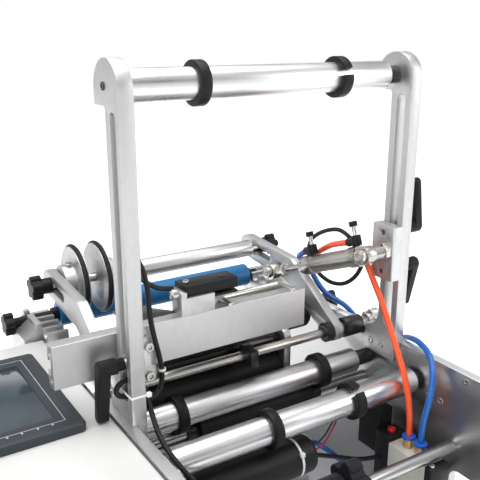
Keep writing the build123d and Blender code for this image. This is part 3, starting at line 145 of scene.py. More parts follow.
def make_world():
    """A pale room that is brighter overhead and has a grey band near the horizon."""
    world = bpy.data.worlds.new("studio")
    bpy.context.scene.world = world
    world.use_nodes = True
    tree = world.node_tree
    background = tree.nodes["Background"]
    coords = tree.nodes.new("ShaderNodeTexCoord")
    split = tree.nodes.new("ShaderNodeSeparateXYZ")
    spread = tree.nodes.new("ShaderNodeMapRange")
    ramp = tree.nodes.new("ShaderNodeValToRGB")
    spread.inputs["From Min"].default_value = -1
    spread.inputs["From Max"].default_value = 1
    tree.links.new(coords.outputs["Generated"], split.inputs[0])
    tree.links.new(split.outputs["Z"], spread.inputs["Value"])
    tree.links.new(spread.outputs["Result"], ramp.inputs["Fac"])
    tree.links.new(ramp.outputs["Color"], background.inputs["Color"])
    band = ramp.color_ramp.elements
    for stop, (place, level) in zip(band, (SKY_STOPS[0], SKY_STOPS[-1])):
        stop.position, stop.color = place, (level, level, level, 1)
    for place, level in SKY_STOPS[1:-1]:
        band.new(place).color = (level, level, level, 1)
    background.inputs["Strength"].default_value = SKY_LEVEL


def soft_lamp(name, place, aim, width, depth, power):
    """A large soft lamp at one drawing point, aimed at another."""
    data = bpy.data.lights.new(name, "AREA")
    data.shape = "RECTANGLE"
    data.size = width
    data.size_y = depth
    data.energy = power
    lamp = bpy.data.objects.new(name, data)
    bpy.context.scene.collection.objects.link(lamp)
    lamp.location = at(*place)
    lamp.rotation_euler = (at(*aim) - lamp.location).to_track_quat("-Z", "Y").to_euler()
    return lamp


LAMPS = (
    ("lamp_top", (-100, 100, 1300), (-60, 40, 0), 1.6, 1.2, 20),
    ("lamp_left", (-1300, -500, 700), (-60, 40, 60), 0.9, 1.2, 9),
    ("lamp_right", (1100, -800, 600), (60, 0, 40), 0.7, 1.0, 6),
)
make_world()
for lamp in LAMPS:
    soft_lamp(*lamp)
print("lamps", len(LAMPS))
bpy.context.scene.view_settings.view_transform = "Standard"

# %% [markdown]
# The floor is a plain white sheet, far larger than the machine, so no edge of it comes into view.
# It glows a little, as a sheet lit from all round does, so that it melts into the white room.

# %% Floor
FLOOR_SIZE = 12.0
FLOOR_GLOW = 0.5
FLOOR_WHITE = 0.93
FLOOR_ROUGHNESS = 0.8
FLOOR_SHINE = 0.1


def make_floor():
    """A plain white floor under the feet."""
    bpy.ops.mesh.primitive_plane_add(size=FLOOR_SIZE, location=(0, 0, 0))
    floor = bpy.context.active_object
    floor.name = "studio_floor"
    finish = bpy.data.materials.new("white floor")
    finish.use_nodes = True
    shader = finish.node_tree.nodes["Principled BSDF"]
    shader.inputs["Base Color"].default_value = (FLOOR_WHITE, FLOOR_WHITE, FLOOR_WHITE, 1)
    shader.inputs["Roughness"].default_value = FLOOR_ROUGHNESS
    shader.inputs["Specular IOR Level"].default_value = FLOOR_SHINE
    shader.inputs["Emission Color"].default_value = (1, 1, 1, 1)
    shader.inputs["Emission Strength"].default_value = FLOOR_GLOW
    floor.data.materials.append(finish)
    return floor


make_floor()

# %% [markdown]
# Four effects turn up on nearly every finish, so each is built once as a node group: the fine
# lines that brushing leaves in aluminium, the slow cloudiness of handled metal and paint, the
# grain of moulded plastic, and the bright line that wear leaves on an edge.

# %% Shared effects
LINE_NOISE = (1.0, 4, 0.7)
BAND_NOISE = (0.13, 2, 0.5)
CLOUD_DETAIL = 5
SPECK_SCALE, SPECK_DETAIL = 220, 3
SPECK_RANGE = (0.68, 0.80)
GRAIN_DETAIL = 2
GRAIN_CELLS = 0.6
WEAR_RANGE = (0.52, 0.62)
WEAR_PATCHES = 160


def new_group(name, inputs, outputs):
    """An empty node group with named number inputs and outputs."""
    group = bpy.data.node_groups.new(name, "ShaderNodeTree")
    for label, value in inputs:
        socket = group.interface.new_socket(label, in_out="INPUT", socket_type="NodeSocketFloat")
        socket.default_value = value
    for label in outputs:
        group.interface.new_socket(label, in_out="OUTPUT", socket_type="NodeSocketFloat")
    entry = group.nodes.new("NodeGroupInput")
    leave = group.nodes.new("NodeGroupOutput")
    return group, entry, leave


def scaled_coords(group, entry, labels):
    """Object coordinates multiplied by three group inputs."""
    coords = group.nodes.new("ShaderNodeTexCoord")
    scale = group.nodes.new("ShaderNodeCombineXYZ")
    product = group.nodes.new("ShaderNodeVectorMath")
    product.operation = "MULTIPLY"
    for index, label in enumerate(labels):
        group.links.new(entry.outputs[label], scale.inputs[index])
    group.links.new(coords.outputs["Object"], product.inputs[0])
    group.links.new(scale.outputs[0], product.inputs[1])
    return product.outputs[0]


def take_range(tree, span):
    """A node that stretches a part of a mask to all of it."""
    keep = tree.nodes.new("ShaderNodeMapRange")
    keep.inputs["From Min"].default_value, keep.inputs["From Max"].default_value = span
    return keep


def noise_node(group, vector, scale, detail, roughness):
    """A noise texture on the given coordinates."""
    noise = group.nodes.new("ShaderNodeTexNoise")
    noise.inputs["Scale"].default_value = scale
    noise.inputs["Detail"].default_value = detail
    noise.inputs["Roughness"].default_value = roughness
    group.links.new(vector, noise.inputs["Vector"])
    return noise.outputs["Fac"]


def brush_group():
    """Long fine lines, with their direction set by the three scales."""
    labels = ("Across X", "Across Y", "Across Z")
    inputs = [(label, 100) for label in labels]
    group, entry, leave = new_group("brush lines", inputs, ("Lines", "Bands"))
    vector = scaled_coords(group, entry, labels)
    group.links.new(noise_node(group, vector, *LINE_NOISE), leave.inputs["Lines"])
    group.links.new(noise_node(group, vector, *BAND_NOISE), leave.inputs["Bands"])
    return group


def cloud_group():
    """Slow cloudiness, and rare small marks."""
    group, entry, leave = new_group("handling clouds", [("Scale", 9.0)], ("Clouds", "Marks"))
    coords = group.nodes.new("ShaderNodeTexCoord")
    clouds = group.nodes.new("ShaderNodeTexNoise")
    clouds.inputs["Detail"].default_value = CLOUD_DETAIL
    marks = group.nodes.new("ShaderNodeTexNoise")
    marks.inputs["Scale"].default_value = SPECK_SCALE
    marks.inputs["Detail"].default_value = SPECK_DETAIL
    keep = take_range(group, SPECK_RANGE)
    group.links.new(coords.outputs["Object"], clouds.inputs["Vector"])
    group.links.new(coords.outputs["Object"], marks.inputs["Vector"])
    group.links.new(entry.outputs["Scale"], clouds.inputs["Scale"])
    group.links.new(marks.outputs["Fac"], keep.inputs["Value"])
    group.links.new(clouds.outputs["Fac"], leave.inputs["Clouds"])
    group.links.new(keep.outputs["Result"], leave.inputs["Marks"])
    return group


def grain_group():
    """The fine pebbled grain of moulded plastic, paint and rubber."""
    group, entry, leave = new_group("moulded grain", [("Scale", 2500.0)], ("Grain",))
    coords = group.nodes.new("ShaderNodeTexCoord")
    cells = group.nodes.new("ShaderNodeTexVoronoi")
    fine = group.nodes.new("ShaderNodeTexNoise")
    fine.inputs["Detail"].default_value = GRAIN_DETAIL
    blend = group.nodes.new("ShaderNodeMath")
    blend.operation = "MULTIPLY_ADD"
    blend.inputs[1].default_value = GRAIN_CELLS
    for texture in (cells, fine):
        group.links.new(coords.outputs["Object"], texture.inputs["Vector"])
        group.links.new(entry.outputs["Scale"], texture.inputs["Scale"])
    group.links.new(cells.outputs["Distance"], blend.inputs[0])
    group.links.new(fine.outputs["Fac"], blend.inputs[2])
    group.links.new(blend.outputs[0], leave.inputs["Grain"])
    return group


def edge_group():
    """A broken light line along outer edges."""
    group, entry, leave = new_group("edge wear", [("Amount", 1.0)], ("Wear",))
    geometry = group.nodes.new("ShaderNodeNewGeometry")
    keep = take_range(group, WEAR_RANGE)
    coords = group.nodes.new("ShaderNodeTexCoord")
    patches = group.nodes.new("ShaderNodeTexNoise")
    patches.inputs["Scale"].default_value = WEAR_PATCHES
    breaks = group.nodes.new("ShaderNodeMath")
    breaks.operation = "MULTIPLY"
    amount = group.nodes.new("ShaderNodeMath")
    amount.operation = "MULTIPLY"
    group.links.new(geometry.outputs["Pointiness"], keep.inputs["Value"])
    group.links.new(coords.outputs["Object"], patches.inputs["Vector"])
    group.links.new(keep.outputs["Result"], breaks.inputs[0])
    group.links.new(patches.outputs["Fac"], breaks.inputs[1])
    group.links.new(breaks.outputs[0], amount.inputs[0])
    group.links.new(entry.outputs["Amount"], amount.inputs[1])
    group.links.new(amount.outputs[0], leave.inputs["Wear"])
    return group


EFFECTS = {
    "brush": brush_group(), "clouds": cloud_group(), "grain": grain_group(), "edges": edge_group(),
}
print("effects", sorted(EFFECTS))

# %% [markdown]
# A finish starts from one shader and then gets its effects. The small helpers below place a group,
# mix two colours by a mask, stretch a mask to a roughness, and turn a height into a bump.

# %% Helpers for finishes
MASK_RANGE = (0.3, 0.7)


def start_finish(name, colour, metal, roughness):
    """A new material with its shader set, and the tools to wire it."""
    finish = bpy.data.materials.new(name)
    finish.use_nodes = True
    shader = finish.node_tree.nodes["Principled BSDF"]
    shader.inputs["Base Color"].default_value = (*colour, 1)
    shader.inputs["Metallic"].default_value = metal
    shader.inputs["Roughness"].default_value = roughness
    finish.diffuse_color = (*colour, 1)
    return finish, finish.node_tree, shader


def add_effect(tree, effect, **values):
    """One shared effect, with its own input values."""
    node = tree.nodes.new("ShaderNodeGroup")
    node.node_tree = EFFECTS[effect]
    for label, value in values.items():
        node.inputs[label.replace("_", " ")].default_value = value
    return node


def tint(tree, shader, mask, dark, light):
    """Base colour that goes from dark to light with a mask."""
    mix = tree.nodes.new("ShaderNodeMix")
    mix.data_type = "RGBA"
    mix.inputs[6].default_value = (*dark, 1)
    mix.inputs[7].default_value = (*light, 1)
    tree.links.new(mask, mix.inputs[0])
    tree.links.new(mix.outputs[2], shader.inputs["Base Color"])
    return mix


def tint_over(tree, shader, mix, mask, colour):
    """A second colour laid over the first by another mask."""
    over = tree.nodes.new("ShaderNodeMix")
    over.data_type = "RGBA"
    over.inputs[7].default_value = (*colour, 1)
    tree.links.new(mix.outputs[2], over.inputs[6])
    tree.links.new(mask, over.inputs[0])
    tree.links.new(over.outputs[2], shader.inputs["Base Color"])
    return over


def vary_roughness(tree, shader, mask, low, high):
    """Roughness that follows a mask."""
    spread = take_range(tree, MASK_RANGE)
    spread.inputs["To Min"].default_value = low
    spread.inputs["To Max"].default_value = high
    tree.links.new(mask, spread.inputs["Value"])
    tree.links.new(spread.outputs["Result"], shader.inputs["Roughness"])


def shaded(base, factor):
    """A colour made darker or lighter by a factor, up to white."""
    return tuple(min(1.0, v * factor) for v in base)


def add_bump(tree, shader, height, strength, distance):
    """A bump from a height mask, on top of any bump that is there."""
    bump = tree.nodes.new("ShaderNodeBump")
    bump.inputs["Strength"].default_value = strength
    bump.inputs["Distance"].default_value = distance
    held = shader.inputs["Normal"]
    if held.is_linked:
        tree.links.new(held.links[0].from_socket, bump.inputs["Normal"])
    tree.links.new(height, bump.inputs["Height"])
    tree.links.new(bump.outputs["Normal"], held)


# %% [markdown]
# Brushed aluminium is metal with thousands of parallel scratches. The lines run the long way of
# each part, so each direction is its own finish made by one function. A lightly clouded roughness
# keeps a large plate from looking like paper.

# %% Brushed aluminium
FINE_LINES = 2600.0
SLOW_LINES = 22.0
WORN_ALUMINIUM = (0.92, 0.92, 0.93)
ALUMINIUM_TINT = (1, 1.005, 1.012)
BRUSH_BUMP = 0.0002


def brushed_aluminium(name, along, level=0.50, roughness=0.46, depth=0.14):
    """Aluminium with fine lines along one axis."""
    base = tuple(level * v for v in ALUMINIUM_TINT)
    finish, tree, shader = start_finish(name, base, 1.0, roughness)
    scales = {f"Across_{axis}": SLOW_LINES if axis == along else FINE_LINES for axis in "XYZ"}
    brush = add_effect(tree, "brush", **scales)
    clouds = add_effect(tree, "clouds", Scale=7.0)
    wear = add_effect(tree, "edges", Amount=0.9)
    mix = tint(tree, shader, brush.outputs["Lines"], shaded(base, 0.90), shaded(base, 1.06))
    tint_over(tree, shader, mix, wear.outputs["Wear"], WORN_ALUMINIUM)
    vary_roughness(tree, shader, clouds.outputs["Clouds"], roughness - 0.04, roughness + 0.06)
    add_bump(tree, shader, brush.outputs["Lines"], depth, BRUSH_BUMP)
    return finish


ALUMINIUM_UP = brushed_aluminium("aluminium brushed upwards", "Z")
ALUMINIUM_BACK = brushed_aluminium("aluminium brushed front to back", "Y")
ALUMINIUM_ACROSS = brushed_aluminium("aluminium brushed across", "X")
ALUMINIUM_PLATE = brushed_aluminium("aluminium plate", "Y", 0.44, 0.32, 0.03)
# The plates' top edges get a much lighter copy of the plate aluminium as a painted highlight.
ALUMINIUM_PAINTED_HIGHLIGHT = brushed_aluminium("aluminium plate painted highlight", "Y", 0.78, 0.45, 0.02)
print("aluminium finishes", 5)

# %% [markdown]
# The guide tubes are ground and polished, so they are nearly mirrors: low roughness, and drawing
# lines along their length that only just break the reflections. Nickel plate is the same idea
# with a warmer colour, and the ground shafts sit in between.

# %% Polished tube, nickel and steel
DRAWN_LINES = 900.0
DRAWN_LENGTHWISE = 8.0
DRAWN_BUMP = 0.0001


def polished_metal(name, base, roughness, along="X", depth=0.03):
    """Smooth bright metal with faint lines along one axis."""
    finish, tree, shader = start_finish(name, base, 1.0, roughness)
    scales = {
        f"Across_{axis}": DRAWN_LENGTHWISE if axis == along else DRAWN_LINES for axis in "XYZ"
    }
    brush = add_effect(tree, "brush", **scales)
    clouds = add_effect(tree, "clouds", Scale=14.0)
    mix = tint(tree, shader, brush.outputs["Bands"], shaded(base, 0.88), base)
    tint_over(tree, shader, mix, clouds.outputs["Marks"], shaded(base, 0.8))
    vary_roughness(tree, shader, clouds.outputs["Clouds"], roughness * 0.8, roughness * 1.4)
    add_bump(tree, shader, brush.outputs["Lines"], depth, DRAWN_BUMP)
    return finish


POLISHED_TUBE = polished_metal("polished tube", (0.72, 0.72, 0.73), 0.30)
NICKEL = polished_metal("nickel plate", (0.58, 0.56, 0.53), 0.27, "X", 0.006)
GROUND_STEEL = polished_metal("ground steel", (0.56, 0.555, 0.55), 0.28, "X", 0.008)
BARREL_STEEL = polished_metal("barrel steel", (0.50, 0.48, 0.455), 0.30, "Y", 0.004)
BRASS = polished_metal("brass", (0.72, 0.49, 0.22), 0.25, "Z")

# %% [markdown]
# The black parts are glass-filled nylon, rubber and blackened steel. All are nearly black, and
# what tells them apart is grain and gloss: nylon has a pebbled satin, rubber is dull with a
# softer grain, and blackened steel has a thin oily shine.

# %% Black and coloured plastics, rubber and paint
MOULD_LIFT = 0.004
WORN_LIFT = 0.10
GRAIN_BUMP = 0.0002
COAT_ROUGHNESS = 0.12


def moulded(name, base, roughness, scale, depth, wear=0.25, coat=0.0, shine=0.5):
    """Moulded or painted surface with grain, clouds and a little edge wear."""
    finish, tree, shader = start_finish(name, base, 0.0, roughness)
    grain = add_effect(tree, "grain", Scale=scale)
    clouds = add_effect(tree, "clouds", Scale=18.0)
    edges = add_effect(tree, "edges", Amount=wear)
    light = tuple(min(1.0, v * 1.10 + MOULD_LIFT) for v in base)
    mix = tint(tree, shader, clouds.outputs["Clouds"], shaded(base, 0.86), light)
    pale = tuple(min(1.0, v + WORN_LIFT) for v in base)
    tint_over(tree, shader, mix, edges.outputs["Wear"], pale)
    vary_roughness(tree, shader, clouds.outputs["Clouds"], roughness - 0.05, roughness + 0.07)
    add_bump(tree, shader, grain.outputs["Grain"], depth, GRAIN_BUMP)
    shader.inputs["Specular IOR Level"].default_value = shine
    shader.inputs["Coat Weight"].default_value = coat
    shader.inputs["Coat Roughness"].default_value = COAT_ROUGHNESS
    return finish


BLACK_NYLON = moulded("black nylon", (0.007, 0.0075, 0.009), 0.40, 2200.0, 0.12, 0.15, 0.0, 0.16)
BLACK_RUBBER = moulded("black rubber", (0.011, 0.011, 0.012), 0.50, 1500.0, 0.10, 0.08, 0.0, 0.20)
BLACK_STEEL = moulded("blackened steel", (0.012, 0.012, 0.013), 0.28, 3000.0, 0.05, 0.3, 0.0, 0.40)
BLACK_GLOSS = moulded("glossy black rubber", (0.010, 0.010, 0.011), 0.16, 3000.0, 0.02, 0.1)
BLUE_SLEEVE = moulded(
    "blue roller sleeve", (0.010, 0.150, 0.36), 0.44, 1300.0, 0.16, 0.1, 0.0, 0.35
)
WHITE_CASE = moulded("white powder coat", (0.60, 0.60, 0.59), 0.42, 1400.0, 0.10, 0.05)
GREY_FLOOR = moulded("grey base paint", (0.66, 0.665, 0.69), 0.45, 1400.0, 0.08, 0.1)
PANEL_FRAME = moulded(
    "panel frame plastic", (0.030, 0.036, 0.042), 0.42, 2600.0, 0.08, 0.2, 0.0, 0.3
)
VALVE_PAINT = moulded("valve body paint", (0.55, 0.53, 0.48), 0.36, 2400.0, 0.05, 0.3)
ORANGE_HOSE = moulded("orange hose", (0.85, 0.085, 0.016), 0.28, 900.0, 0.02, 0.0, 0.3, 0.35)
BLUE_HOSE = moulded("blue hose", (0.006, 0.105, 0.40), 0.28, 900.0, 0.02, 0.0, 0.3, 0.35)
CABLE_JACKET = moulded("cable jacket", (0.009, 0.009, 0.010), 0.42, 1800.0, 0.05, 0.0, 0.0, 0.24)
RED_BUTTON = moulded("red button", (0.55, 0.012, 0.012), 0.30, 2400.0, 0.03, 0.1, 0.3)
WHITE_NYLON = moulded("white nylon", (0.80, 0.80, 0.77), 0.40, 2400.0, 0.05, 0.0)
COLLAR_BLUE = moulded("release collar blue", (0.010, 0.085, 0.45), 0.34, 2400.0, 0.04, 0.1)
BOARD_GREY = moulded("unit case grey", (0.20, 0.21, 0.22), 0.5, 1800.0, 0.06, 0.2)
print("moulded finishes", 16)


def screen_glass():
    """The dark glass of the touch panel, with faint wipe marks in its gloss."""
    finish, tree, shader = start_finish("screen glass", (0.030, 0.048, 0.062), 0.0, 0.16)
    clouds = add_effect(tree, "clouds", Scale=24.0)
    tint(tree, shader, clouds.outputs["Clouds"], (0.020, 0.030, 0.040), (0.046, 0.070, 0.088))
    vary_roughness(tree, shader, clouds.outputs["Clouds"], 0.06, 0.16)
    shader.inputs["Coat Weight"].default_value = 0.5
    return finish


SCREEN_GLASS = screen_glass()

# %% [markdown]
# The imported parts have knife-sharp edges, which no machined part has. Each part is copied, its
# loose triangles are joined into clean faces, and a small bevel with two steps rounds its edges,
# so that each catches a thin line of light. The copy then stands for the part in the picture.

# %% Rounding the edges of a part
EDGE_STEPS = 2
EDGE_ANGLE = math.radians(32)
WELD_DISTANCE = 0.000005
FLAT_ANGLE = math.radians(0.4)


def only(piece):
    """Select one object alone and make it active."""
    bpy.ops.object.select_all(action="DESELECT")
    piece.select_set(True)
    bpy.context.view_layer.objects.active = piece


def part_copy(node, name):
    """A copy of a part's mesh with its triangles joined into faces."""
    piece = bpy.data.objects.new(name, nodes[node].data.copy())
    bpy.context.scene.collection.objects.link(piece)
    piece.data.materials.clear()
    only(piece)
    bpy.ops.object.mode_set(mode="EDIT")
    bpy.ops.mesh.select_all(action="SELECT")
    bpy.ops.mesh.remove_doubles(threshold=WELD_DISTANCE)
    bpy.ops.mesh.dissolve_limited(angle_limit=FLAT_ANGLE)
    bpy.ops.object.mode_set(mode="OBJECT")
    return piece


def bevel_edges(piece, width, steps, sharper_than, smooth_under):
    """Round the edges sharper than one angle, and smooth the faces that meet under another."""
    only(piece)
    bevel = piece.modifiers.new("edge", "BEVEL")
    bevel.width = width
    bevel.segments = steps
    bevel.limit_method = "ANGLE"
    bevel.angle_limit = sharper_than
    bpy.ops.object.modifier_apply(modifier=bevel.name)
    bpy.ops.object.shade_smooth_by_angle(angle=smooth_under)


def dress(node, finish, edge):
    """A part with rounded edges and its finish, in place of the plain one."""
    piece = part_copy(node, node + "_dressed")
    if edge > 0:
        bevel_edges(piece, edge, EDGE_STEPS, EDGE_ANGLE, EDGE_ANGLE)
    else:
        bpy.ops.object.shade_smooth_by_angle(angle=EDGE_ANGLE)
    piece.data.materials.append(finish)
    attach(piece, nodes[node]["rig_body"])
    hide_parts(node)
    return piece


def paint(piece, finish, chosen):
    """Give a second finish to the faces that a test picks by their middle."""
    piece.data.materials.append(finish)
    index = len(piece.data.materials) - 1
    picked = [face for face in piece.data.polygons if chosen(face.center, face.normal)]
    for face in picked:
        face.material_index = index
    print(piece.name, "faces in", finish.name, len(picked))


# %% [markdown]
# With the helper in hand, every hard part gets its rounding and its finish. Plates have broad
# chamfers, turned parts small ones, and the moulded parts the softest edges.

# %% Parts and their finishes
DRESSING = {
    "base_plate": (GREY_FLOOR, 0.5), "rubber_feet": (BLACK_RUBBER, 1.0),
    "side_plate_left": (ALUMINIUM_PLATE, 0.7), "side_plate_right": (ALUMINIUM_PLATE, 0.7),
    "post_left": (ALUMINIUM_UP, 0.6), "post_right": (ALUMINIUM_UP, 0.6),
    "cross_bars": (GROUND_STEEL, 0.3), "black_spacers": (BLACK_STEEL, 0.4),
    "control_box": (WHITE_CASE, 0.3), "box_electronics": (BOARD_GREY, 0.3),
    "power_switch": (BLACK_NYLON, 0.5), "hmi_bezel": (PANEL_FRAME, 0.5),
    "hmi_screen": (SCREEN_GLASS, 0.2),
    "top_tube": (POLISHED_TUBE, 0.5), "roll_clip_left": (BLACK_NYLON, 0.8),
    "roll_clip_right": (BLACK_NYLON, 0.8), "guide_roller_a": (POLISHED_TUBE, 0.4),
    "guide_roller_b": (POLISHED_TUBE, 0.4), "rewind_shaft": (BLACK_NYLON, 0.8),
    "pinch_roller": (BLACK_RUBBER, 0.6), "traction_roller": (BLACK_RUBBER, 0.3),
    "nip_roller": (BLACK_GLOSS, 0.3), "nip_plate": (ALUMINIUM_UP, 0.5),
    "drive_motor": (BLACK_STEEL, 0.6), "motor_pulley": (ALUMINIUM_ACROSS, 0.2),
    "drive_belt": (BLACK_RUBBER, 0.2), "bottle_drive_roller": (BLACK_RUBBER, 0.3),
    "bottle_roller": (BLUE_SLEEVE, 0.4), "bottle_roller_axle": (BLACK_NYLON, 0.5),
    "comb_bracket_left": (ALUMINIUM_BACK, 0.5), "comb_bracket_right": (ALUMINIUM_BACK, 0.5),
    "press_arm_left": (ALUMINIUM_BACK, 0.6), "press_arm_right": (ALUMINIUM_BACK, 0.6),
    "arm_shafts": (NICKEL, 0.3), "pivot_collars": (BLACK_STEEL, 0.4),
    "press_tube": (POLISHED_TUBE, 0.4),
    "press_discs": (ALUMINIUM_ACROSS, 0.3), "disc_rings": (BLACK_RUBBER, 0.0),
    "arm_knob_left": (BLACK_NYLON, 0.4), "arm_knob_right": (BLACK_NYLON, 0.4),
    "cylinder_block": (ALUMINIUM_UP, 0.5), "cylinder_barrel": (BARREL_STEEL, 0.4),
    "piston_rod": (NICKEL, 0.3), "flow_elbows": (BLACK_NYLON, 0.5), "beam": (ALUMINIUM_ACROSS, 0.4),
    "beam_hardware": (NICKEL, 0.4), "label_guide": (BLACK_STEEL, 0.3),
    "label_sensor": (BLACK_NYLON, 0.5), "valve_body": (VALVE_PAINT, 0.5),
    "valve_coil": (BLACK_NYLON, 0.5), "valve_button": (RED_BUTTON, 0.5),
    "beam_clamp_lever": (BLACK_NYLON, 0.4), "post_lever_upper": (BLACK_NYLON, 0.4),
    "post_lever_lower": (BLACK_NYLON, 0.4), "black_cables": (CABLE_JACKET, 0.0),
}
dressed = {node: dress(node, finish, edge * MM) for node, (finish, edge) in DRESSING.items()}
print("dressed", len(dressed), "of", len(nodes))

# %% [markdown]
# Some parts hold pieces of more than one material: a tube carries black clips and end plugs, an
# air fitting has a nickel stem under its black body and a blue release collar, and the sides of
# the cylinder's block carry plain steel studs. On the real machine these are separate pieces, so
# here the faces of each are picked by their place and get a finish of their own.

# %% Painted areas
TUBE_R = 12.5
CLIP_START_R = TUBE_R + 0.15
PLUG_R = TUBE_R - 1.2
ROLLER_A = (46.0, -31.5)
ROLLER_B = (-20.0, -30.0)
TOP_TUBE_LINE = (22.5, 260.0)


def drawing(point):
    """A point of the row frame, in drawing millimetres."""
    return (point - ZERO) / MM


def off_line(point, line):
    """How far a point is from a line across the machine, in millimetres."""
    spot = drawing(point)
    return math.hypot(spot.y - line[0], spot.z - line[1])


def beyond(line, radius):
    """A test for faces further than a radius from a line across the machine."""
    return lambda middle, normal: off_line(middle, line) > radius


def within(line, radius):
    """A test for faces nearer than a radius to a line across the machine."""
    return lambda middle, normal: off_line(middle, line) < radius


for node, line in (("guide_roller_a", ROLLER_A), ("guide_roller_b", ROLLER_B)):
    paint(dressed[node], BLACK_NYLON, beyond(line, CLIP_START_R))
    paint(dressed[node], BLACK_NYLON, within(line, PLUG_R))
paint(dressed["top_tube"], BLACK_NYLON, within(TOP_TUBE_LINE, PLUG_R))

# %% [markdown]
# The air cylinder lies at a slant, so its own small pieces are easier to find in its own lines:
# across, along the barrel, and up from it.

# %% Painted areas on the cylinder and the valve
CYLINDER_PLACE = (97.0, 6.7, 98.2)
CYLINDER_TILT = math.radians(-21.8)
CAP_R = 10.0
ELBOW_R = 4.8
ELBOW_STEM_R = 2.2
ELBOW_PLACES = (10.0, 80.0)
ELBOW_TOP = CAP_R + 2 * ELBOW_R
COLLAR_REACH = 11.4
COLLAR_HALF = 0.9
MARGIN = 0.2
STEM_START = 0.5


def on_cylinder(point):
    """A point as across, along and up on the slanted cylinder, in millimetres."""
    spot = drawing(point) - Vector(CYLINDER_PLACE)
    along = spot.y * math.cos(CYLINDER_TILT) + spot.z * math.sin(CYLINDER_TILT)
    up = spot.z * math.cos(CYLINDER_TILT) - spot.y * math.sin(CYLINDER_TILT)
    return spot.x, along, up


def elbow_stem(middle, normal):
    """The bare screw stem between an elbow and its knob."""
    across, along, up = on_cylinder(middle)
    near = min(math.hypot(across, along - place) for place in ELBOW_PLACES)
    return near < ELBOW_STEM_R + MARGIN and up > ELBOW_TOP - STEM_START


def elbow_collar(middle, normal):
    """The release collar round the mouth of an elbow."""
    across, along, up = on_cylinder(middle)
    reach = min(abs(along - place - COLLAR_REACH) for place in ELBOW_PLACES)
    return reach < COLLAR_HALF and math.hypot(across, up - CAP_R - ELBOW_R) < ELBOW_R + MARGIN


HEXAGON_START = -83.9
FITTING_TOP = -75.0
STRIP_SPAN = (-133, -100)
BRACKET_LOW = (-84.2, 31.9, 67)
BRACKET_HIGH = (-51.8, 50.2, math.inf)
COLLAR_SHOULDER = 113.8
BLOCK_FACE = 121.7
TOP_EDGE = 0.6


def valve_hexagons(middle, normal):
    """The hexagon bodies of the two push-in fittings."""
    return HEXAGON_START < drawing(middle).z < FITTING_TOP


def valve_collars(middle, normal):
    """The release collars of the two push-in fittings."""
    return drawing(middle).z >= FITTING_TOP


def right_of(across):
    """A test for faces to the right of a line."""
    return lambda middle, normal: drawing(middle).x > across


def left_of(across):
    """A test for faces to the left of a line."""
    return lambda middle, normal: drawing(middle).x < across


def strip_faces(middle, normal):
    """The upright strip and its flange beside the left post."""
    return STRIP_SPAN[0] < drawing(middle).x < STRIP_SPAN[1]


def bracket_faces(middle, normal):
    """The folded bracket under the sensor."""
    spot = drawing(middle)
    return all(low < v < high for low, v, high in zip(BRACKET_LOW, spot, BRACKET_HIGH))


def painted_highlight_tops(middle, normal):
    """The narrow top edges of a plate, which get a painted highlight."""
    return normal.z > TOP_EDGE


# The upward faces of both side plates get the lighter aluminium: a painted highlight.
for node in ("side_plate_left", "side_plate_right"):
    paint(dressed[node], ALUMINIUM_PAINTED_HIGHLIGHT, painted_highlight_tops)
paint(dressed["flow_elbows"], NICKEL, elbow_stem)
paint(dressed["flow_elbows"], COLLAR_BLUE, elbow_collar)
paint(dressed["valve_body"], BRASS, valve_hexagons)
paint(dressed["valve_body"], COLLAR_BLUE, valve_collars)
paint(dressed["pivot_collars"], NICKEL, right_of(COLLAR_SHOULDER))
paint(dressed["beam_hardware"], ALUMINIUM_UP, strip_faces)
paint(dressed["beam_hardware"], ALUMINIUM_BACK, bracket_faces)
paint(dressed["cylinder_block"], NICKEL, left_of(BLOCK_FACE))

# %% [markdown]
# A hose or a cable is one smooth curve. Its points are the ones that the imported tube was laid
# along, and a curve of the third order runs softly between them, as a hose does that is pushed into
# its fitting at both ends. A hose or cable between a moving body and the frame is made a mesh in
# place and attached to no body.

# %% Hoses and cables
HOSE_R = 3.0
CABLE_R = 2.2
ORANGE_ROUTE = (
    (97, 33.37, 103.47), (98.5, 54.5, 96.5), (102.5, 69, 89.5), (106.5, 85, 80.5),
    (110.5, 97, 72.5), (115, 105, 67), (121, 110.5, 63), (128, 109.5, 61), (131, 103, 64),
    (129.5, 87, 71.5), (124, 64, 81), (118.5, 45, 86), (117, 34, 86), (117, 25, 78.5),
    (117.5, 16.8, 65.3), (118.5, 6.9, 50.8), (119.5, -3.4, 31.3), (119, -18.8, 6.1),
    (118, -35, -21), (117, -44, -54), (117, -44, -71.7),
)
BLUE_ROUTE = (
    (97, 98.36, 77.47), (97.5, 107, 72), (101, 115, 66), (110, 122, 61), (118.5, 121, 53),
    (123, 116, 40), (129, 111, 27), (138, 107, 16), (148, 104, 10), (158, 99, 2),
    (165, 92, -9), (168, 80, -19), (169, 63, -25), (169, 42, -21), (165, 24, -10),
    (157, 5, 2), (148, -20, 8), (139, -43, 5), (129, -57, -8), (121, -61, -32),
    (117, -59, -53), (117, -59, -71.7),
)
SENSOR_ROUTE = (
    (-84.4, 47, 88.5), (-96.4, 47, 90.2), (-105.5, 47, 96), (-114, 46, 103), (-121, 45, 113),
    (-126, 42, 124), (-127, 36, 130.5), (-125.5, 29, 130), (-122.5, 25.5, 122), (-119.5, 25, 112),
    (-117.5, 24.5, 97), (-117.5, 24.5, 82), (-114, 25, 60.5), (-109, 25.5, 40), (-106.7, 26.4, 26),
    (-108, 26, 14), (-113, 24, 8), (-121, 20, 9), (-127, 14.5, 18), (-133, 12.5, 31),
    (-141, 12.5, 35.5), (-150, 12.5, 34), (-154.5, 12.5, 27.8), (-151, 12.5, 21.8),
    (-141, 12.5, 20), (-132.5, 12.5, 19.6), (-128.4, 9, 14.1), (-128.6, 3, 6.5),
    (-129.5, -10, -6.5), (-129.3, -30, -14.3), (-121, -46, -28.4), (-110, -49, -43),
    (-100, -45, -57), (-92, -38.4, -66.5),
)
